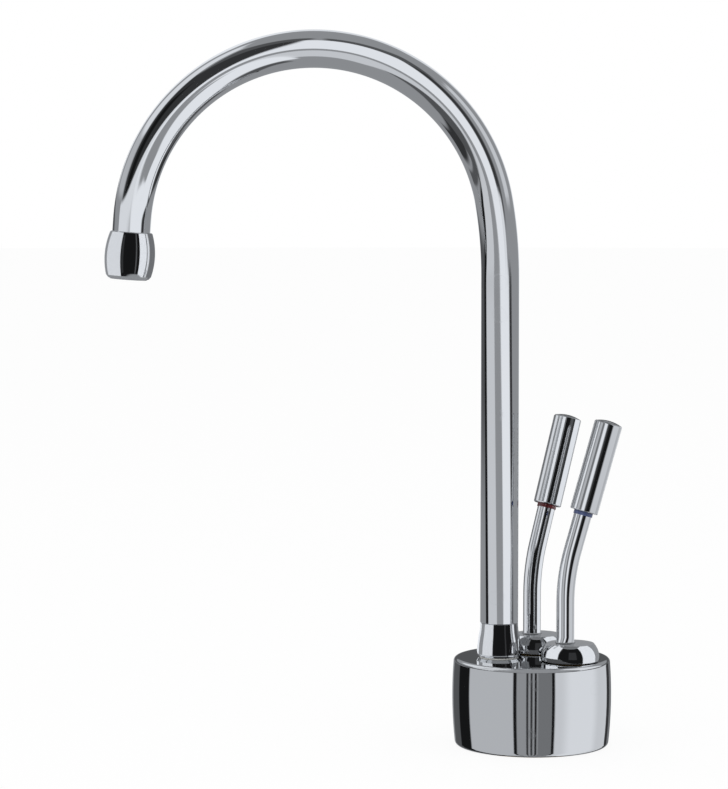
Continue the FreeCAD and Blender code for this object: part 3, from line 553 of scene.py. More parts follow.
def ceramic_finish(name, colour):
    """Lapped ceramic."""
    moulded_finish(name, colour, pale=1.05, grains=5000.0, depth=0.08, roughness=0.2)


def mark_finish(name, colour):
    """The glossy coloured ring, slightly paler in places."""
    shader = moulded_finish(
        name, colour, pale=1.5, grains=1800.0, depth=0.12, roughness=0.32, pale_cover=0.6)
    shader.inputs["Coat Weight"].default_value = 0.4
    shader.inputs["Coat Roughness"].default_value = 0.12


FINISH_OF = {
    "chrome": chrome_finish, "brass": brass_finish, "steel": steel_finish,
    "rubber": rubber_finish, "plastic": plastic_finish, "ceramic": ceramic_finish,
    "hot_mark": mark_finish, "cold_mark": mark_finish,
}


def finish(slot):
    """The finish of a material slot of the record, made when it is first asked for."""
    name = f"tap_{slot}"
    if name not in bpy.data.materials:
        FINISH_OF[slot](name, tuple(getattr(bpy.context.scene.tap_finishes, slot)))
    return bpy.data.materials[name]


# ---- mesh helpers --------------------------------------------------------------------------


def new_object(name, data):
    """Links a new object for a mesh, a curve, a lamp or a camera."""
    piece = bpy.data.objects.new(name, data)
    bpy.context.scene.collection.objects.link(piece)
    return piece


def smooth(mesh, sharp_degrees=40.0):
    """Shades a mesh smooth, with its edges above an angle kept sharp."""
    mesh.polygons.foreach_set("use_smooth", [True] * len(mesh.polygons))
    mesh.set_sharp_from_angle(angle=math.radians(sharp_degrees))


def write_back(form, mesh):
    """Writes a bmesh to a mesh and frees it."""
    form.to_mesh(mesh)
    form.free()
    return mesh


def turned_mesh(name, outline, sides, closed=True):
    """A mesh turned round the Z axis from an outline of (radius, height). A closed outline
    makes a ring, an open one that runs inwards makes a sheet that faces up."""
    form = bmesh.new()
    rings = []
    for side in range(sides):
        angle = 2 * math.pi * side / sides
        across = Vector((math.cos(angle), math.sin(angle), 0))
        rings.append([form.verts.new(across * radius + UP * height) for radius, height in outline])
    spots = len(outline) if closed else len(outline) - 1
    for here, there in zip(rings, rings[1:] + rings[:1]):
        for spot in range(spots):
            after = (spot + 1) % len(outline)
            form.faces.new((here[spot], there[spot], there[after], here[after]))
    if closed:
        bmesh.ops.recalc_face_normals(form, faces=form.faces)
    return write_back(form, bpy.data.meshes.new(name))


def close_pipe(mesh, sides):
    """Closes the double wall of the spout's pipe with a flat ring at each end."""
    form = bmesh.new()
    form.from_mesh(mesh)
    edges = [edge for edge in form.edges if edge.is_boundary]
    middle = sum((edge.verts[0].co for edge in edges), Vector()) / len(edges)
    foot = [edge for edge in edges if edge.verts[0].co.x > middle.x]
    outlet = [edge for edge in edges if edge.verts[0].co.x <= middle.x]
    for end in (foot, outlet):
        if len(end) != 2 * sides:
            raise RuntimeError("the pipe's ends aren't where they were expected")
        bmesh.ops.bridge_loops(form, edges=end)
    bmesh.ops.recalc_face_normals(form, faces=form.faces)
    write_back(form, mesh)


# ---- geometry nodes ------------------------------------------------------------------------


def set_input(piece, label, value):
    """Sets a Geometry Nodes input by its socket's identifier."""
    modifier = piece.modifiers[0]
    for item in modifier.node_group.interface.items_tree:
        if item.item_type == "SOCKET" and item.in_out == "INPUT" and item.name == label:
            modifier[item.identifier] = value
            return
    raise RuntimeError(f"the node tree {modifier.node_group.name} has no input {label}")


def grown(name, source, tree, values):
    """Runs a node tree on a mesh or a curve and returns a plain mesh object at the origin."""
    seed = new_object(name + "_seed", source)
    modifier = seed.modifiers.new("growth", "NODES")
    modifier.node_group = tree
    for label, value in values.items():
        set_input(seed, label, value)
    seed.update_tag()
    graph = bpy.context.evaluated_depsgraph_get()
    mesh = bpy.data.meshes.new_from_object(seed.evaluated_get(graph))
    seed.modifiers.remove(modifier)
    bpy.data.objects.remove(seed)
    if not mesh.polygons:
        raise RuntimeError(f"{name} came out empty")
    mesh.name = name
    return new_object(name, mesh)


def growth_tree(name, inputs):
    """A Geometry Nodes tree that takes a piece, some sizes and a finish."""
    geometry = ("Geometry", "NodeSocketGeometry")
    sockets = [(*geometry, None), *inputs, ("Finish", "NodeSocketMaterial", None)]
    return new_group(name, "GeometryNodeTree", sockets, [geometry])


def joined(tree, *pieces):
    """Several nodes' geometry as one."""
    node = tree.nodes.new("GeometryNodeJoinGeometry")
    for piece in pieces:
        tree.links.new(piece.outputs[0], node.inputs[0])
    return node


def upright_curve(tree, curve):
    """A curve whose profile stands upright all the way."""
    return add_node(tree, "GeometryNodeSetCurveNormal", {"Curve": curve}, mode="Z_UP")


def finish_tree(tree, geometry, given, out, rounded):
    """Ends a tree: smooth or flat shading, real geometry and the finish."""
    shaded = add_node(tree, "GeometryNodeSetShadeSmooth", {
        "Geometry": geometry, "Shade Smooth": rounded})
    real = add_node(tree, "GeometryNodeRealizeInstances", {"Geometry": shaded})
    dressed = add_node(tree, "GeometryNodeSetMaterial", {
        "Geometry": real, "Material": given["Finish"]})
    feed(tree, out, {"Geometry": dressed})
    return tree


def pipe_tree(name, hollow):
    """A round bar or pipe along a curve. The curve's own radius scales it, so that a stub or
    a weld can stand in the same piece."""
    bore = [("Bore radius", "NodeSocketFloat", 0.003)] if hollow else []
    tree, given, out = growth_tree(name, [
        ("Radius", "NodeSocketFloat", 0.004), *bore, ("Sides", "NodeSocketInt", 64)])

    def wall(radius, capped):
        circle = add_node(tree, "GeometryNodeCurvePrimitiveCircle", {
            "Resolution": given["Sides"], "Radius": given[radius]})
        return add_node(tree, "GeometryNodeCurveToMesh", {
            "Curve": given["Geometry"], "Profile Curve": circle,
            "Scale": add_node(tree, "GeometryNodeInputRadius"), "Fill Caps": capped})

    result = wall("Radius", not hollow)
    if hollow:
        turned_in = add_node(tree, "GeometryNodeFlipFaces", {"Mesh": wall("Bore radius", False)})
        result = joined(tree, result, turned_in)
    return finish_tree(tree, result, given, out, True)


def thread_tree():
    """The ridge of a screw thread: a trapezium carried along a helix round the Z axis. It
    reaches as deep into the wall as it stands out, so its foot is hidden."""
    foot_width, crest_width = 1.35, 0.28       # in pitches
    tree, given, out = growth_tree("thread ridge", [
        ("Root radius", "NodeSocketFloat", 0.015),
        ("Crest radius", "NodeSocketFloat", 0.016),
        ("Pitch", "NodeSocketFloat", 0.002),
        ("Turns", "NodeSocketFloat", 20.0),
        ("Steps per turn", "NodeSocketInt", 72)])
    helix = add_node(tree, "GeometryNodeCurveSpiral", {
        "Resolution": given["Steps per turn"], "Rotations": given["Turns"],
        "Start Radius": given["Root radius"], "End Radius": given["Root radius"],
        "Height": times(tree, given["Turns"], given["Pitch"])})
    upright = upright_curve(tree, helix)
    ridge = math_node(tree, "SUBTRACT", given["Crest radius"], given["Root radius"])
    profile = add_node(tree, "GeometryNodeCurvePrimitiveQuadrilateral", {
        "Height": times(tree, ridge, 2.0), "Offset": 0.0,
        "Bottom Width": times(tree, given["Pitch"], foot_width),
        "Top Width": times(tree, given["Pitch"], crest_width)}, mode="TRAPEZOID")
    outward = add_node(tree, "GeometryNodeTransform", {
        "Geometry": profile, "Rotation": (0.0, 0.0, -math.pi / 2)})
    swept = add_node(tree, "GeometryNodeCurveToMesh", {
        "Curve": upright, "Profile Curve": outward, "Fill Caps": True})
    return finish_tree(tree, swept, given, out, False)


def honeycomb_tree():
    """A round plate of hexagonal cells inside a solid rim, its top at height zero."""
    columns = 13                 # of the grid that the cells are picked from
    rim_gap = 0.12               # how far inside the rim a cell's middle stays, in cells
    wall_height = 0.98           # of the cells' walls, in thicknesses: just under the rim's
    tree, given, out = growth_tree("honeycomb plate", [
        ("Radius", "NodeSocketFloat", 0.008),
        ("Rim", "NodeSocketFloat", 0.001),
        ("Thickness", "NodeSocketFloat", 0.0026),
        ("Cell", "NodeSocketFloat", 0.0019),
        ("Cell wall", "NodeSocketFloat", 0.0003)])
    row_step = times(tree, given["Cell"], math.sqrt(3) / 2)
    grid = add_node(tree, "GeometryNodeMeshGrid", {
        "Size X": times(tree, given["Cell"], columns - 1.0),
        "Size Y": times(tree, row_step, columns - 1.0),
        "Vertices X": columns, "Vertices Y": columns})
    place = add_node(tree, "GeometryNodeInputPosition")
    parts = add_node(tree, "ShaderNodeSeparateXYZ", {"Vector": place})
    row = math_node(tree, "ROUND", math_node(tree, "DIVIDE", parts.outputs["Y"], row_step))
    odd = math_node(tree, "ABSOLUTE", math_node(tree, "MODULO", row, 2.0))
    move = add_node(tree, "ShaderNodeCombineXYZ", {
        "X": times(tree, odd, times(tree, given["Cell"], 0.5))})
    staggered = add_node(tree, "GeometryNodeSetPosition", {
        "Geometry": grid.outputs["Mesh"], "Offset": move})
    away = add_node(tree, "ShaderNodeVectorMath", {
        0: add_node(tree, "GeometryNodeInputPosition")}, operation="LENGTH")
    reach = math_node(tree, "SUBTRACT", given["Radius"], given["Rim"])
    outside = add_node(tree, "FunctionNodeCompare", {
        0: away.outputs["Value"],
        1: math_node(tree, "SUBTRACT", reach, times(tree, given["Cell"], rim_gap))},
        data_type="FLOAT", operation="GREATER_THAN")
    kept = add_node(tree, "GeometryNodeDeleteGeometry", {
        "Geometry": staggered, "Selection": outside}, domain="POINT")
    hexagon = add_node(tree, "GeometryNodeCurvePrimitiveCircle", {
        "Resolution": 6, "Radius": times(tree, given["Cell"], 1 / math.sqrt(3))})
    wall = add_node(tree, "GeometryNodeCurvePrimitiveQuadrilateral", {
        "Width": given["Cell wall"], "Height": times(tree, given["Thickness"], wall_height)})
    cell = add_node(tree, "GeometryNodeCurveToMesh", {
        "Curve": upright_curve(tree, hexagon), "Profile Curve": wall})
    turned = add_node(tree, "GeometryNodeTransform", {
        "Geometry": cell, "Rotation": (0.0, 0.0, math.radians(30))})
    cells = add_node(tree, "GeometryNodeInstanceOnPoints", {"Points": kept, "Instance": turned})
    half_rim = times(tree, given["Rim"], 0.5)
    rim_line = add_node(tree, "GeometryNodeCurvePrimitiveCircle", {
        "Resolution": ROUND_SIDES,
        "Radius": math_node(tree, "SUBTRACT", given["Radius"], half_rim)})
    rim_section = add_node(tree, "GeometryNodeCurvePrimitiveQuadrilateral", {
        "Width": given["Rim"], "Height": given["Thickness"]})
    rim = add_node(tree, "GeometryNodeCurveToMesh", {
        "Curve": upright_curve(tree, rim_line), "Profile Curve": rim_section})
    drop = add_node(tree, "ShaderNodeCombineXYZ", {"Z": times(tree, given["Thickness"], -0.5)})
    lowered = add_node(tree, "GeometryNodeTransform", {
        "Geometry": joined(tree, cells, rim), "Translation": drop})
    return finish_tree(tree, lowered, given, out, False)


def line_curve(name, points, scales=None):
    """A curve of straight steps through points, each with its share of the radius."""
    curve = bpy.data.curves.new(name, "CURVE")
    curve.dimensions = "3D"
    spline = curve.splines.new("POLY")
    spline.points.add(len(points) - 1)
    for number, point in enumerate(points):
        spline.points[number].co = (*point, 1.0)
        spline.points[number].radius = scales[number] if scales else 1.0
    return curve


# ---- centre lines --------------------------------------------------------------------------


POST_STEPS, EASE_STEPS, ARCH_STEPS, END_STEPS = 40, 10, 110, 6
UPRIGHT_STEPS, BEND_STEPS, GRIP_STEPS = 8, 14, 12
WELD_RINGS = (0.0, 0.15, 0.35, 0.6, 1.0)   # their heights, as shares of the weld's size
HAIR = 0.01 * MM             # keeps two rings of different width at one place apart


def spout_line(sizes):
    """Points of the spout's centre line, and the outlet's place and direction."""
    axis = JOINT_AT["spout_swivel"]
    foot = axis + UP * sizes.foot_height
    bend = axis + UP * sizes.post_height
    points = [foot.lerp(bend, step / POST_STEPS) for step in range(POST_STEPS)]
    ease_centre = bend - Vector((sizes.ease_radius, 0, 0))

    def on_arc(centre, radius, angle):
        return centre + Vector((radius * math.cos(angle), 0, radius * math.sin(angle)))

    arch_centre = on_arc(ease_centre, sizes.ease_radius - sizes.arch_radius, sizes.ease_angle)
    points += [on_arc(ease_centre, sizes.ease_radius, sizes.ease_angle * step / EASE_STEPS)
               for step in range(EASE_STEPS)]
    turn = sizes.arch_end - sizes.ease_angle
    points += [on_arc(arch_centre, sizes.arch_radius, sizes.ease_angle + turn * step / ARCH_STEPS)
               for step in range(ARCH_STEPS + 1)]
    down = Vector((-math.sin(sizes.arch_end), 0, math.cos(sizes.arch_end)))
    start = points[-1]
    tip = start + down * sizes.straight_end
    end = tip + down * sizes.in_housing
    points += [start.lerp(end, step / END_STEPS) for step in range(1, END_STEPS + 1)]
    return points, tip, down


def lever_line(sizes, joint, azimuth):
    """Points and radius shares of a lever rod's centre line, with the grip's foot and
    direction."""
    axis = JOINT_AT[joint]
    foot = Vector((axis.x + sizes.rod_offset, axis.y, axis.z + sizes.cap_top))
    lean = Vector((math.cos(azimuth), math.sin(azimuth), 0))
    stub = sizes.stub_radius / sizes.rod_radius
    points = [foot - UP * sizes.stub_length, foot + UP * HAIR]
    scales = [stub, stub]
    for share in WELD_RINGS:
        points.append(foot + UP * (2 * HAIR + sizes.foot_weld * share))
        scales.append(1.0 + sizes.foot_weld / sizes.rod_radius * (1 - share) ** 2)
    bend = foot + UP * sizes.upright
    low = points[-1]
    points += [low.lerp(bend, step / UPRIGHT_STEPS) for step in range(1, UPRIGHT_STEPS)]

    def on_bend(angle):
        return bend + (lean * (1 - math.cos(angle)) + UP * math.sin(angle)) * sizes.bend_radius

    points += [on_bend(sizes.lean * step / BEND_STEPS) for step in range(BEND_STEPS + 1)]
    along = lean * math.sin(sizes.lean) + UP * math.cos(sizes.lean)
    end = points[-1]
    whole = sizes.to_grip + sizes.in_grip
    points += [end + along * whole * step / GRIP_STEPS for step in range(1, GRIP_STEPS + 1)]
    scales += [1.0] * (len(points) - len(scales))
    return points, scales, end + along * sizes.to_grip, along


# ---- pieces --------------------------------------------------------------------------------


CORNER_STEPS = 4             # of the colour rings' rounded edges
THREAD_STEPS = 72            # to a turn of the shank's thread


class TAP_OT_finishes(bpy.types.Operator):
    """Gives every piece of the packed model its finish"""
    bl_idname = "tap.finishes"
    bl_label = "Finishes"

    def execute(self, context):
        for node in NODES.values():
            for slot in node.material_slots:
                slot.material = finish(slot_name(slot))
        return {"FINISHED"}


class TAP_OT_spout_tube(bpy.types.Operator):
    """Builds the gooseneck tube along its centre line"""
    bl_idname = "tap.spout_tube"
    bl_label = "Spout tube"

    def execute(self, context):
        sizes = context.scene.tap_spout
        points, _, _ = spout_line(sizes)
        tube = grown("spout_tube_fine", line_curve("spout_line", points), pipe_tree("spout pipe", True), {
            "Radius": sizes.tube_radius, "Bore radius": sizes.tube_radius - sizes.wall,
            "Sides": sizes.sides, "Finish": finish("chrome")})
        close_pipe(tube.data, sizes.sides)
        smooth(tube.data)
        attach(tube, "spout")
        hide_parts("spout_tube")
        return {"FINISHED"}


class TAP_OT_lever_rods(bpy.types.Operator):
    """Builds the two bent lever rods, each with its stub and polished foot weld"""
    bl_idname = "tap.lever_rods"
    bl_label = "Lever rods"

    def execute(self, context):
        sizes = context.scene.tap_levers
        tree = pipe_tree("lever bar", False)
        for side, azimuth in (("hot", sizes.hot_azimuth), ("cold", sizes.cold_azimuth)):
            points, scales, _, _ = lever_line(sizes, f"{side}_lever_turn", azimuth)
            curve = line_curve(f"{side}_rod_line", points, scales)
            rod = grown(f"{side}_rod_fine", curve, tree, {
                "Radius": sizes.rod_radius, "Sides": sizes.sides, "Finish": finish("chrome")})
            smooth(rod.data)
            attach(rod, f"{side}_lever")
            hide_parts(f"{side}_lever_rod")
        return {"FINISHED"}


class TAP_OT_colour_rings(bpy.types.Operator):
    """Builds the red and the blue ring with softened edges"""
    bl_idname = "tap.colour_rings"
    bl_label = "Colour rings"

    def execute(self, context):
        sizes = context.scene.tap_levers
        edge = sizes.ring_round
        outer, low = sizes.ring_radius, -sizes.ring_height
        outline = [(sizes.rod_radius, 0.0), (sizes.rod_radius, low)]
        for first, height in ((-90, low + edge), (0, -edge)):
            for step in range(CORNER_STEPS + 1):
                angle = math.radians(first + 90 / CORNER_STEPS * step)
                outline.append((outer - edge + edge * math.cos(angle), height + edge * math.sin(angle)))
        for side, azimuth in (("hot", sizes.hot_azimuth), ("cold", sizes.cold_azimuth)):
            _, _, foot, along = lever_line(sizes, f"{side}_lever_turn", azimuth)
            mesh = turned_mesh(f"{side}_ring", outline, ROUND_SIDES)
            turn = UP.rotation_difference(along).to_matrix().to_4x4()
            mesh.transform(Matrix.Translation(foot) @ turn)
            smooth(mesh, sharp_degrees=50.0)
            mesh.materials.append(finish(f"{side}_mark"))
            ring = new_object(f"{side}_ring_fine", mesh)
            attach(ring, f"{side}_lever")
            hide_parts(f"{side}_index_ring")
        return {"FINISHED"}


class TAP_OT_shank(bpy.types.Operator):
    """Builds the hollow shank with a true helical thread"""
    bl_idname = "tap.shank"
    bl_label = "Threaded shank"

    def execute(self, context):
        sizes = context.scene.tap_shank
        chamfer, run_out = 0.4 * MM, 0.6 * MM
        low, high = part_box("shank")
        start = low.z + sizes.pitch
        turns = math.floor((-sizes.plain - start - sizes.pitch) / sizes.pitch)
        ridge = grown("shank_ridge", bpy.data.meshes.new("shank_seed"), thread_tree(), {
            "Root radius": sizes.root, "Crest radius": sizes.crest, "Pitch": sizes.pitch,
            "Turns": float(turns), "Steps per turn": THREAD_STEPS, "Finish": finish(SHANK_SLOT)})
        ridge.data.transform(Matrix.Translation((0, 0, start)))
        wall = turned_mesh("shank_wall", [
            (sizes.bore, high.z),
            (sizes.bore, low.z),
            (sizes.root - chamfer, low.z),
            (sizes.root, low.z + chamfer),
            (sizes.root, -sizes.plain - run_out),
            (sizes.crest, -sizes.plain),
            (sizes.crest, 0.0),
            (sizes.neck, 0.0),
            (sizes.neck, high.z),
        ], ROUND_SIDES)
        form = bmesh.new()
        form.from_mesh(wall)
        form.from_mesh(ridge.data)
        write_back(form, wall)
        bpy.data.objects.remove(ridge)
        smooth(wall, sharp_degrees=35.0)
        wall.materials.append(finish(SHANK_SLOT))
        shank = new_object("shank_fine", wall)
        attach(shank, "base")
        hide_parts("shank")
        return {"FINISHED"}


class TAP_OT_straightener(bpy.types.Operator):
    """Builds the honeycomb plate in the outlet"""
    bl_idname = "tap.straightener"
    bl_label = "Flow straightener"

    def execute(self, context):
        sizes = context.scene.tap_outlet
        _, tip, down = spout_line(context.scene.tap_spout)
        plate = grown("straightener_fine", bpy.data.meshes.new("plate_seed"), honeycomb_tree(), {
            "Radius": sizes.radius, "Rim": sizes.rim, "Thickness": sizes.thickness,
            "Cell": sizes.cell, "Cell wall": sizes.cell_wall, "Finish": finish(PLATE_SLOT)})
        turn = (-UP).rotation_difference(down).to_matrix().to_4x4()
        plate.data.transform(Matrix.Translation(tip + down * sizes.seat) @ turn)
        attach(plate, "spout")
        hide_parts("flow_straightener")
        return {"FINISHED"}


# ---- studio --------------------------------------------------------------------------------


def seen_directly(tree):
    """1 for camera, glossy and transmission rays, 0 for others."""
    path = tree.nodes.new("ShaderNodeLightPath")
    first = math_node(tree, "ADD", path.outputs["Is Camera Ray"], path.outputs["Is Glossy Ray"], True)
    return math_node(tree, "ADD", first, path.outputs["Is Transmission Ray"], True)


# What the chrome mirrors. Each group of pieces has a glowing round tent of its own, which no
# other group mirrors: a wall of one shade, with soft-edged cards over it. A card is (left,
# right, foot, top, shade, soft, slant), and a later card covers an earlier one. Azimuths are
# 0 towards the camera and grow to the right. They, the heights and the width of the soft
# edges are in degrees. The slant is how many degrees a card moves left for each degree up.
WHITE, BRIGHT, PALE, LIGHT, GREY = 0.97, 0.85, 0.7, 0.55, 0.33
DUSK, DIM, DARK, BLACK = 0.2, 0.1, 0.04, 0.01
TENTS = {
    "tube": (GREY, [
        (-190, -142, -4, 50, WHITE, 10, 0),
        (150, 190, -10, 45, BRIGHT, 10, 0),
        (-124, -78, 10, 66, LIGHT, 8, 0),
        (-120, -76, 28, 66, BRIGHT, 8, 0),
        (-72, -8, 8, 50, DARK, 6, 0),
        (-60, -40, 8, 36, BLACK, 8, 0),
        (-24, -8, 6, 40, DARK, 6, 0),
        (-62, -6, 48, 63, DIM, 5, 0),
        (-140, -8, 0, 8, GREY, 2, 0),
        (-80, -6, 0, 8, BRIGHT, 2, 0),
        (0, 62, 50, 64, DIM, 5, 0),
        (32, 54, 6, 60, DIM, 4, 0),
        (36, 48, 10, 50, DARK, 4, 0),
        (-8, 31, -3, 50, WHITE, 3, 0),
        (31, 44, -3, 8, BRIGHT, 3, 0),
        (76, 108, 10, 50, PALE, 8, 0),
        (-25, 3, -48, -9, PALE, 5, 0),
        (2, 104, -60, -8, WHITE, 4, 0),
        (8, 45, -21, -10, GREY, 5, 0),
        (12, 85, -76, -63, DIM, 5, 0),
        (-110, -45, -20, -15, DIM, 2, 0),
        (-115, -45, -36, -23, DARK, 4, 0),
        (-58, -24, -38, -12, DIM, 4, 0),
        (108, 142, -30, -8, DARK, 6, 0),
        (106, 130, -56, -26, DIM, 6, 0),
        (-170, -118, -13, 0, GREY, 5, 3.5),
        (-165, -112, -5, 6, DIM, 5, 3.5),
        (-117, -98, -13, 2, BLACK, 5, 3.5),
        (-97, -42, -13, 0, PALE, 5, 3.5),
        (-42, -5, -13, 0, GREY, 5, 3.5),
        (-2, 49, -13, 0, WHITE, 5, 3.5),
        (52, 68, -13, 0, DARK, 5, 3.5),
        (68, 150, -13, 0, GREY, 6, 3.5),
    ]),
    "base": (GREY, [
        (-190, -158, -70, 0, GREY, 5, 0),
        (-160, -130, -70, 0, DIM, 5, 0),
        (-132, -104, -70, 0, BLACK, 3, 0),
        (-103, -26, -70, 0, LIGHT, 3, 0),
        (-28, -23, -70, 2, BLACK, 2, 0),
        (-22, 28, -70, 2, GREY, 2, 0),
        (-9, -6, -70, 2, DARK, 1, 0),
        (-3, 0, -70, 2, DARK, 1, 0),
        (3, 6, -70, 2, BLACK, 1, 0),
        (8, 28, -70, 2, DUSK, 2, 0),
        (28, 32, -70, 2, BLACK, 1, 0),
        (33, 138, -70, 2, PALE, 2, 0),
        (50, 105, -70, 2, BRIGHT, 20, 0),
        (139, 152, -70, 2, DARK, 2, 0),
        (152, 172, -70, 2, DUSK, 3, 0),
        (-180, 180, 3, 14, DIM, 3, 0),
        (-30, 30, 14, 40, DIM, 6, 0),
        (-150, -100, 26, 72, BRIGHT, 6, 0),
        (-100, -60, 12, 72, PALE, 6, 0),
        (-60, 60, 12, 70, GREY, 8, 0),
        (75, 125, 10, 66, BRIGHT, 6, 0),
    ]),
    "cold": (GREY, [
        (-165, -138, -60, 20, LIGHT, 8, 0.8),
        (-132, -102, -60, 20, DUSK, 6, 0.8),
        (-92, -62, -60, 30, WHITE, 6, 0.8),
        (-60, -50, -60, 30, GREY, 3, 0.8),
        (-50, -30, -60, 30, LIGHT, 4, 0.8),
        (-30, -18, -60, 30, DUSK, 4, 0.8),
        (-14, 4, -60, 30, WHITE, 5, 0.8),
        (8, 22, -60, 30, DARK, 5, 0.8),
        (18, 38, -60, 28, BLACK, 5, 0.8),
        (42, 92, -60, 14, PALE, 6, 0.8),
        (92, 130, -60, 12, LIGHT, 10, 0.8),
        (132, 158, -60, 14, BRIGHT, 8, 0.8),
        (162, 195, -60, 20, DIM, 6, 0),
        (-180, 180, 42, 90, DUSK, 8, 0),
    ]),
    "hot": (GREY, [
        (-190, -160, -60, 10, PALE, 6, 0),
        (-160, -126, -60, 14, DUSK, 6, 0),
        (-120, -60, -60, 24, BRIGHT, 8, 0),
        (-92, -72, 14, 26, GREY, 5, 0),
        (-70, -14, 17, 30, WHITE, 4, 0),
        (-28, 14, -60, 15, BLACK, 6, 0),
        (-14, -4, 16, 26, DUSK, 3, 0),
        (-4, 30, -60, 28, BLACK, 4, 0),
        (30, 70, -60, 20, DARK, 4, 0),
        (34, 54, 0, 20, DIM, 3, 0),
        (71, 134, -60, 12, WHITE, 5, 0),
        (140, 160, -60, 10, LIGHT, 8, 0),
        (160, 195, -60, 20, DIM, 6, 0),
        (-180, 180, 42, 90, DUSK, 8, 0),
    ]),
    "caps": (GREY, [
        (-160, -118, -60, 40, GREY, 6, 0),
        (-118, -52, -60, 60, WHITE, 4, 0),
        (-52, 50, -60, 60, BLACK, 5, 0),
        (-8, 24, 0, 40, DARK, 3, 0),
        (50, 116, -60, 62, WHITE, 3, 0),
        (116, 132, -60, 40, GREY, 6, 0),
        (-180, 180, 62, 90, DUSK, 4, 0),
    ]),
    "collar": (DUSK, [
        (-190, -132, -60, 20, WHITE, 4, 0),
        (-130, -98, -60, 20, GREY, 6, 0),
        (-98, -36, -60, 30, BRIGHT, 4, 0),
        (-34, 78, -60, 30, BLACK, 3, 0),
        (31, 39, -60, 30, DARK, 2, 0),
        (79, 101, -60, 30, WHITE, 3, 0),
        (101, 130, -60, 30, DIM, 5, 0),
    ]),
    "rest": (GREY, [
        (-180, -150, -40, 20, BRIGHT, 6, 0),
        (-158, -122, -24, 30, GREY, 8, 0),
        (-122, -38, -30, 58, BRIGHT, 6, 0),
        (52, 100, -30, 58, WHITE, 2, 0),
        (96, 108, -30, 50, BRIGHT, 4, 0),
        (112, 170, -30, 40, DUSK, 6, 0),
        (-38, 52, -30, 60, BLACK, 3, 0),
        (-34, -24, -24, 34, DARK, 3, 0),
        (33, 39, -30, 34, DIM, 2, 0),
        (-180, 180, -90, -31, GREY, 3, 0),
        (-180, 180, 62, 90, DUSK, 4, 0),
    ]),
}
# The pieces of the smaller groups. All others mirror the tent of the rest.
TENT_OF = {
    "spout_tube_fine": "tube",
    "spout_collar": "collar",
    "base_shell": "base",
    "cold_cap": "caps", "hot_cap": "caps",
    "cold_grip": "cold", "cold_rod_fine": "cold", "cold_ring_fine": "cold",
    "hot_grip": "hot", "hot_rod_fine": "hot", "hot_ring_fine": "hot",
}
TENT_RADIUS = 12.0           # of the first tent
TENT_STEP = 0.2              # how far each tent stands outside the one before
TENT_SIDES, TENT_BANDS = 64, 32
TENT_TINT = (0.93, 0.955, 1.0)       # a little cooler than white
LEVEL_SOFT = 4.0             # the softest that a card's foot and top can be, in degrees
FULL_TURN, SEAM = 360.0, 180.0


def soft_step(tree, value, edge, soft, rising):
    """A soft step at an edge, rising or falling."""
    node = add_node(tree, "ShaderNodeMapRange", {
        "Value": value, "From Min": edge - soft / 2, "From Max": edge + soft / 2,
        "To Min": 0.0 if rising else 1.0, "To Max": 1.0 if rising else 0.0},
        interpolation_type="SMOOTHSTEP")
    return node.outputs["Result"]


def card_mask(tree, azimuth, height, card):
    """1 on a card of the tent, 0 off it, with soft edges."""
    left, right, foot, top, _, soft, slant = card
    across = azimuth
    if slant:
        across = math_node(tree, "ADD", azimuth, times(tree, height, slant))
    upright = min(soft, LEVEL_SOFT)
    mask = times(tree, soft_step(tree, height, foot, upright, True),
                 soft_step(tree, height, top, upright, False))
    if right - left >= FULL_TURN:
        return mask
    sides = math_node(tree, "MINIMUM", soft_step(tree, across, left, soft, True),
                      soft_step(tree, across, right, soft, False))
    return times(tree, mask, sides)


def tent_material(name, wall, cards, opaque):
    """A glowing tent: its wall's shade with the cards over it."""
    material = bpy.data.materials.new(name)
    material.use_nodes = True
    material.cycles.emission_sampling = "NONE"
    tree = material.node_tree
    tree.nodes.clear()
    direction = add_node(tree, "ShaderNodeVectorMath", {0: object_place(tree)}, operation="NORMALIZE")
    parts = add_node(tree, "ShaderNodeSeparateXYZ", {"Vector": direction})
    degrees = math.degrees(1.0)
    towards = times(tree, parts.outputs["Y"], -1.0)
    azimuth = times(tree, math_node(tree, "ARCTAN2", parts.outputs["X"], towards), degrees)
    height = times(tree, math_node(tree, "ARCSINE", parts.outputs["Z"]), degrees)
    shade = wall
    for card in cards:
        left, right = card[:2]
        # A card that crosses the seam behind the tap is drawn on both sides of it.
        for shift in [0.0] + [FULL_TURN] * (left < -SEAM) + [-FULL_TURN] * (right > SEAM):
            mask = card_mask(tree, azimuth, height, (left + shift, right + shift, *card[2:]))
            shade = add_node(tree, "ShaderNodeMix", {0: mask, 2: shade, 3: card[4]}).outputs[0]
    surface = add_node(tree, "ShaderNodeEmission", {"Color": (*TENT_TINT, 1.0), "Strength": shade})
    if not opaque:
        clear = tree.nodes.new("ShaderNodeBsdfTransparent")
        surface = add_node(tree, "ShaderNodeAddShader", {0: surface, 1: clear})
    add_node(tree, "ShaderNodeOutputMaterial", {"Surface": surface})
    return material


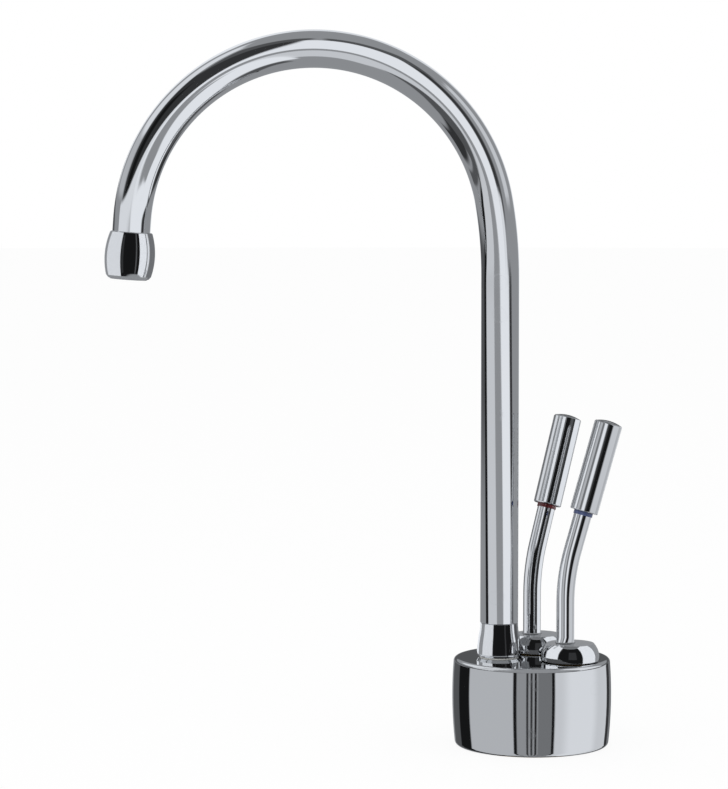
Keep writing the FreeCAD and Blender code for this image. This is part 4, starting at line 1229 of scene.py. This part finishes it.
def make_tents(scene):
    """One tent for each group of pieces, which only that group mirrors. The last and largest
    is opaque, and the others let each piece see through to its own."""
    groups = {name: [] for name in TENTS}
    for piece in scene.objects:
        if piece.type == "MESH" and piece.name != "floor":
            groups[TENT_OF.get(piece.name, "rest")].append(piece)
    for number, (name, (wall, cards)) in enumerate(TENTS.items()):
        form = bmesh.new()
        bmesh.ops.create_uvsphere(form, u_segments=TENT_SIDES, v_segments=TENT_BANDS,
                                  radius=TENT_RADIUS + TENT_STEP * number)
        mesh = write_back(form, bpy.data.meshes.new("tent_" + name))
        mesh.materials.append(tent_material("tent_" + name, wall, cards, name == "rest"))
        tent = new_object("tent_" + name, mesh)
        tent.visible_camera = False
        tent.visible_diffuse = False
        tent.visible_shadow = False
        receivers = bpy.data.collections.new("tent_" + name)
        for piece in groups[name]:
            receivers.objects.link(piece)
        tent.light_linking.receiver_collection = receivers


HOLE_RADIUS = 17.5 * MM      # of the worktop's hole
FLOOR_RINGS = (0.3, 0.04)    # radii that divide the floor between its edge and the hole
FLOOR_DROP = 0.2 * MM        # keeps the floor clear of the base's underside
LAMPS = (                    # name, place and width, in metres
    ("key", (-0.7, -0.9, 1.3), 1.2),
    ("fill", (0.9, -0.6, 1.0), 1.0),
)
LAMP_AIM = (-0.05, 0.0, 0.12)


class TAP_OT_stage(bpy.types.Operator):
    """Builds the floor, the light cards, the lamps and the camera"""
    bl_idname = "tap.stage"
    bl_label = "Studio"

    def execute(self, context):
        studio = context.scene.tap_studio
        make_floor(studio)
        make_world(context.scene, studio)
        make_tents(context.scene)
        make_lamps(studio)
        make_camera(context.scene, studio)
        context.scene.view_settings.view_transform = "Standard"
        return {"FINISHED"}


def make_floor(studio):
    """A pale round floor with the worktop's hole under the base, hidden from reflections."""
    radii = (studio.floor_size, *FLOOR_RINGS, HOLE_RADIUS)
    mesh = turned_mesh("floor", [(radius, -FLOOR_DROP) for radius in radii], ROUND_SIDES, closed=False)
    material, tree, shader = new_material("floor")
    feed(tree, shader, {
        "Base Color": (*studio.floor, 1.0), "Roughness": 0.9, "Specular IOR Level": 0.1})
    glow = add_node(tree, "ShaderNodeEmission", {"Color": (1, 1, 1, 1), "Strength": 1.0})
    share = times(tree, seen_directly(tree), studio.floor_glow)
    mixed = add_node(tree, "ShaderNodeMixShader", {0: share, 1: shader, 2: glow})
    feed(tree, tree.nodes["Material Output"], {"Surface": mixed})
    mesh.materials.append(material)
    floor = new_object("floor", mesh)
    floor.visible_glossy = False


def make_world(scene, studio):
    """A surround that looks plain white and lights a little more softly."""
    world = bpy.data.worlds.new("studio")
    scene.world = world
    world.use_nodes = True
    tree = world.node_tree
    tree.nodes.clear()
    soft = add_node(tree, "ShaderNodeBackground", {
        "Color": (1, 1, 1, 1), "Strength": studio.surround})
    white = add_node(tree, "ShaderNodeBackground", {"Color": (1, 1, 1, 1), "Strength": 1.0})
    mixed = add_node(tree, "ShaderNodeMixShader", {0: seen_directly(tree), 1: soft, 2: white})
    add_node(tree, "ShaderNodeOutputWorld", {"Surface": mixed})


def make_lamps(studio):
    """Two large soft lamps above, left and right of the camera, that the chrome doesn't mirror."""
    for name, place, width in LAMPS:
        data = bpy.data.lights.new(name, "AREA")
        data.size = width
        data.energy = getattr(studio, f"{name}_power")
        lamp = new_object(name, data)
        lamp.location = place
        aim = Vector(LAMP_AIM) - Vector(place)
        lamp.rotation_euler = aim.to_track_quat("-Z", "Y").to_euler()
        lamp.visible_glossy = False


def make_camera(scene, studio):
    """The camera at the photograph's angle."""
    data = bpy.data.cameras.new("camera")
    data.lens = studio.lens
    data.sensor_width = FILM
    data.clip_end = 50.0
    camera = new_object("camera", data)
    camera.location = studio.camera_place
    camera.rotation_euler = (math.pi / 2 - studio.camera_tilt, 0.0, studio.camera_turn)
    scene.camera = camera


# ---- panel, registering and the run --------------------------------------------------------


OPERATORS = (
    TAP_OT_finishes,
    TAP_OT_spout_tube,
    TAP_OT_lever_rods,
    TAP_OT_colour_rings,
    TAP_OT_shank,
    TAP_OT_straightener,
    TAP_OT_stage,
)


class TAP_PT_panel(bpy.types.Panel):
    """Lists the tap's pieces and sizes"""
    bl_idname = "TAP_PT_panel"
    bl_label = "Boiling water tap"
    bl_space_type = "VIEW_3D"
    bl_region_type = "UI"
    bl_category = "Tap"

    def draw(self, context):
        for operator in OPERATORS:
            self.layout.operator(operator.bl_idname)
        for attribute, group in PROPERTY_GROUPS.items():
            settings = getattr(context.scene, attribute)
            box = self.layout.box()
            box.label(text=group.__doc__)
            for name in group.__annotations__:
                box.prop(settings, name)


def register():
    """Registers the settings, the operators and the panel."""
    for attribute, group in PROPERTY_GROUPS.items():
        bpy.utils.register_class(group)
        setattr(bpy.types.Scene, attribute, PointerProperty(type=group))
    for operator in OPERATORS:
        bpy.utils.register_class(operator)
    bpy.utils.register_class(TAP_PT_panel)


def unregister():
    """Removes what register added."""
    bpy.utils.unregister_class(TAP_PT_panel)
    for operator in reversed(OPERATORS):
        bpy.utils.unregister_class(operator)
    for attribute, group in PROPERTY_GROUPS.items():
        delattr(bpy.types.Scene, attribute)
        bpy.utils.unregister_class(group)


def plain(box):
    """A box as lists of numbers."""
    return [[float(value) for value in corner] for corner in box]


def main():
    """Builds everything in order."""
    register()
    for operator in OPERATORS:
        category, name = operator.bl_idname.split(".")
        getattr(getattr(bpy.ops, category), name)()


if __name__ == "__main__":
    main()
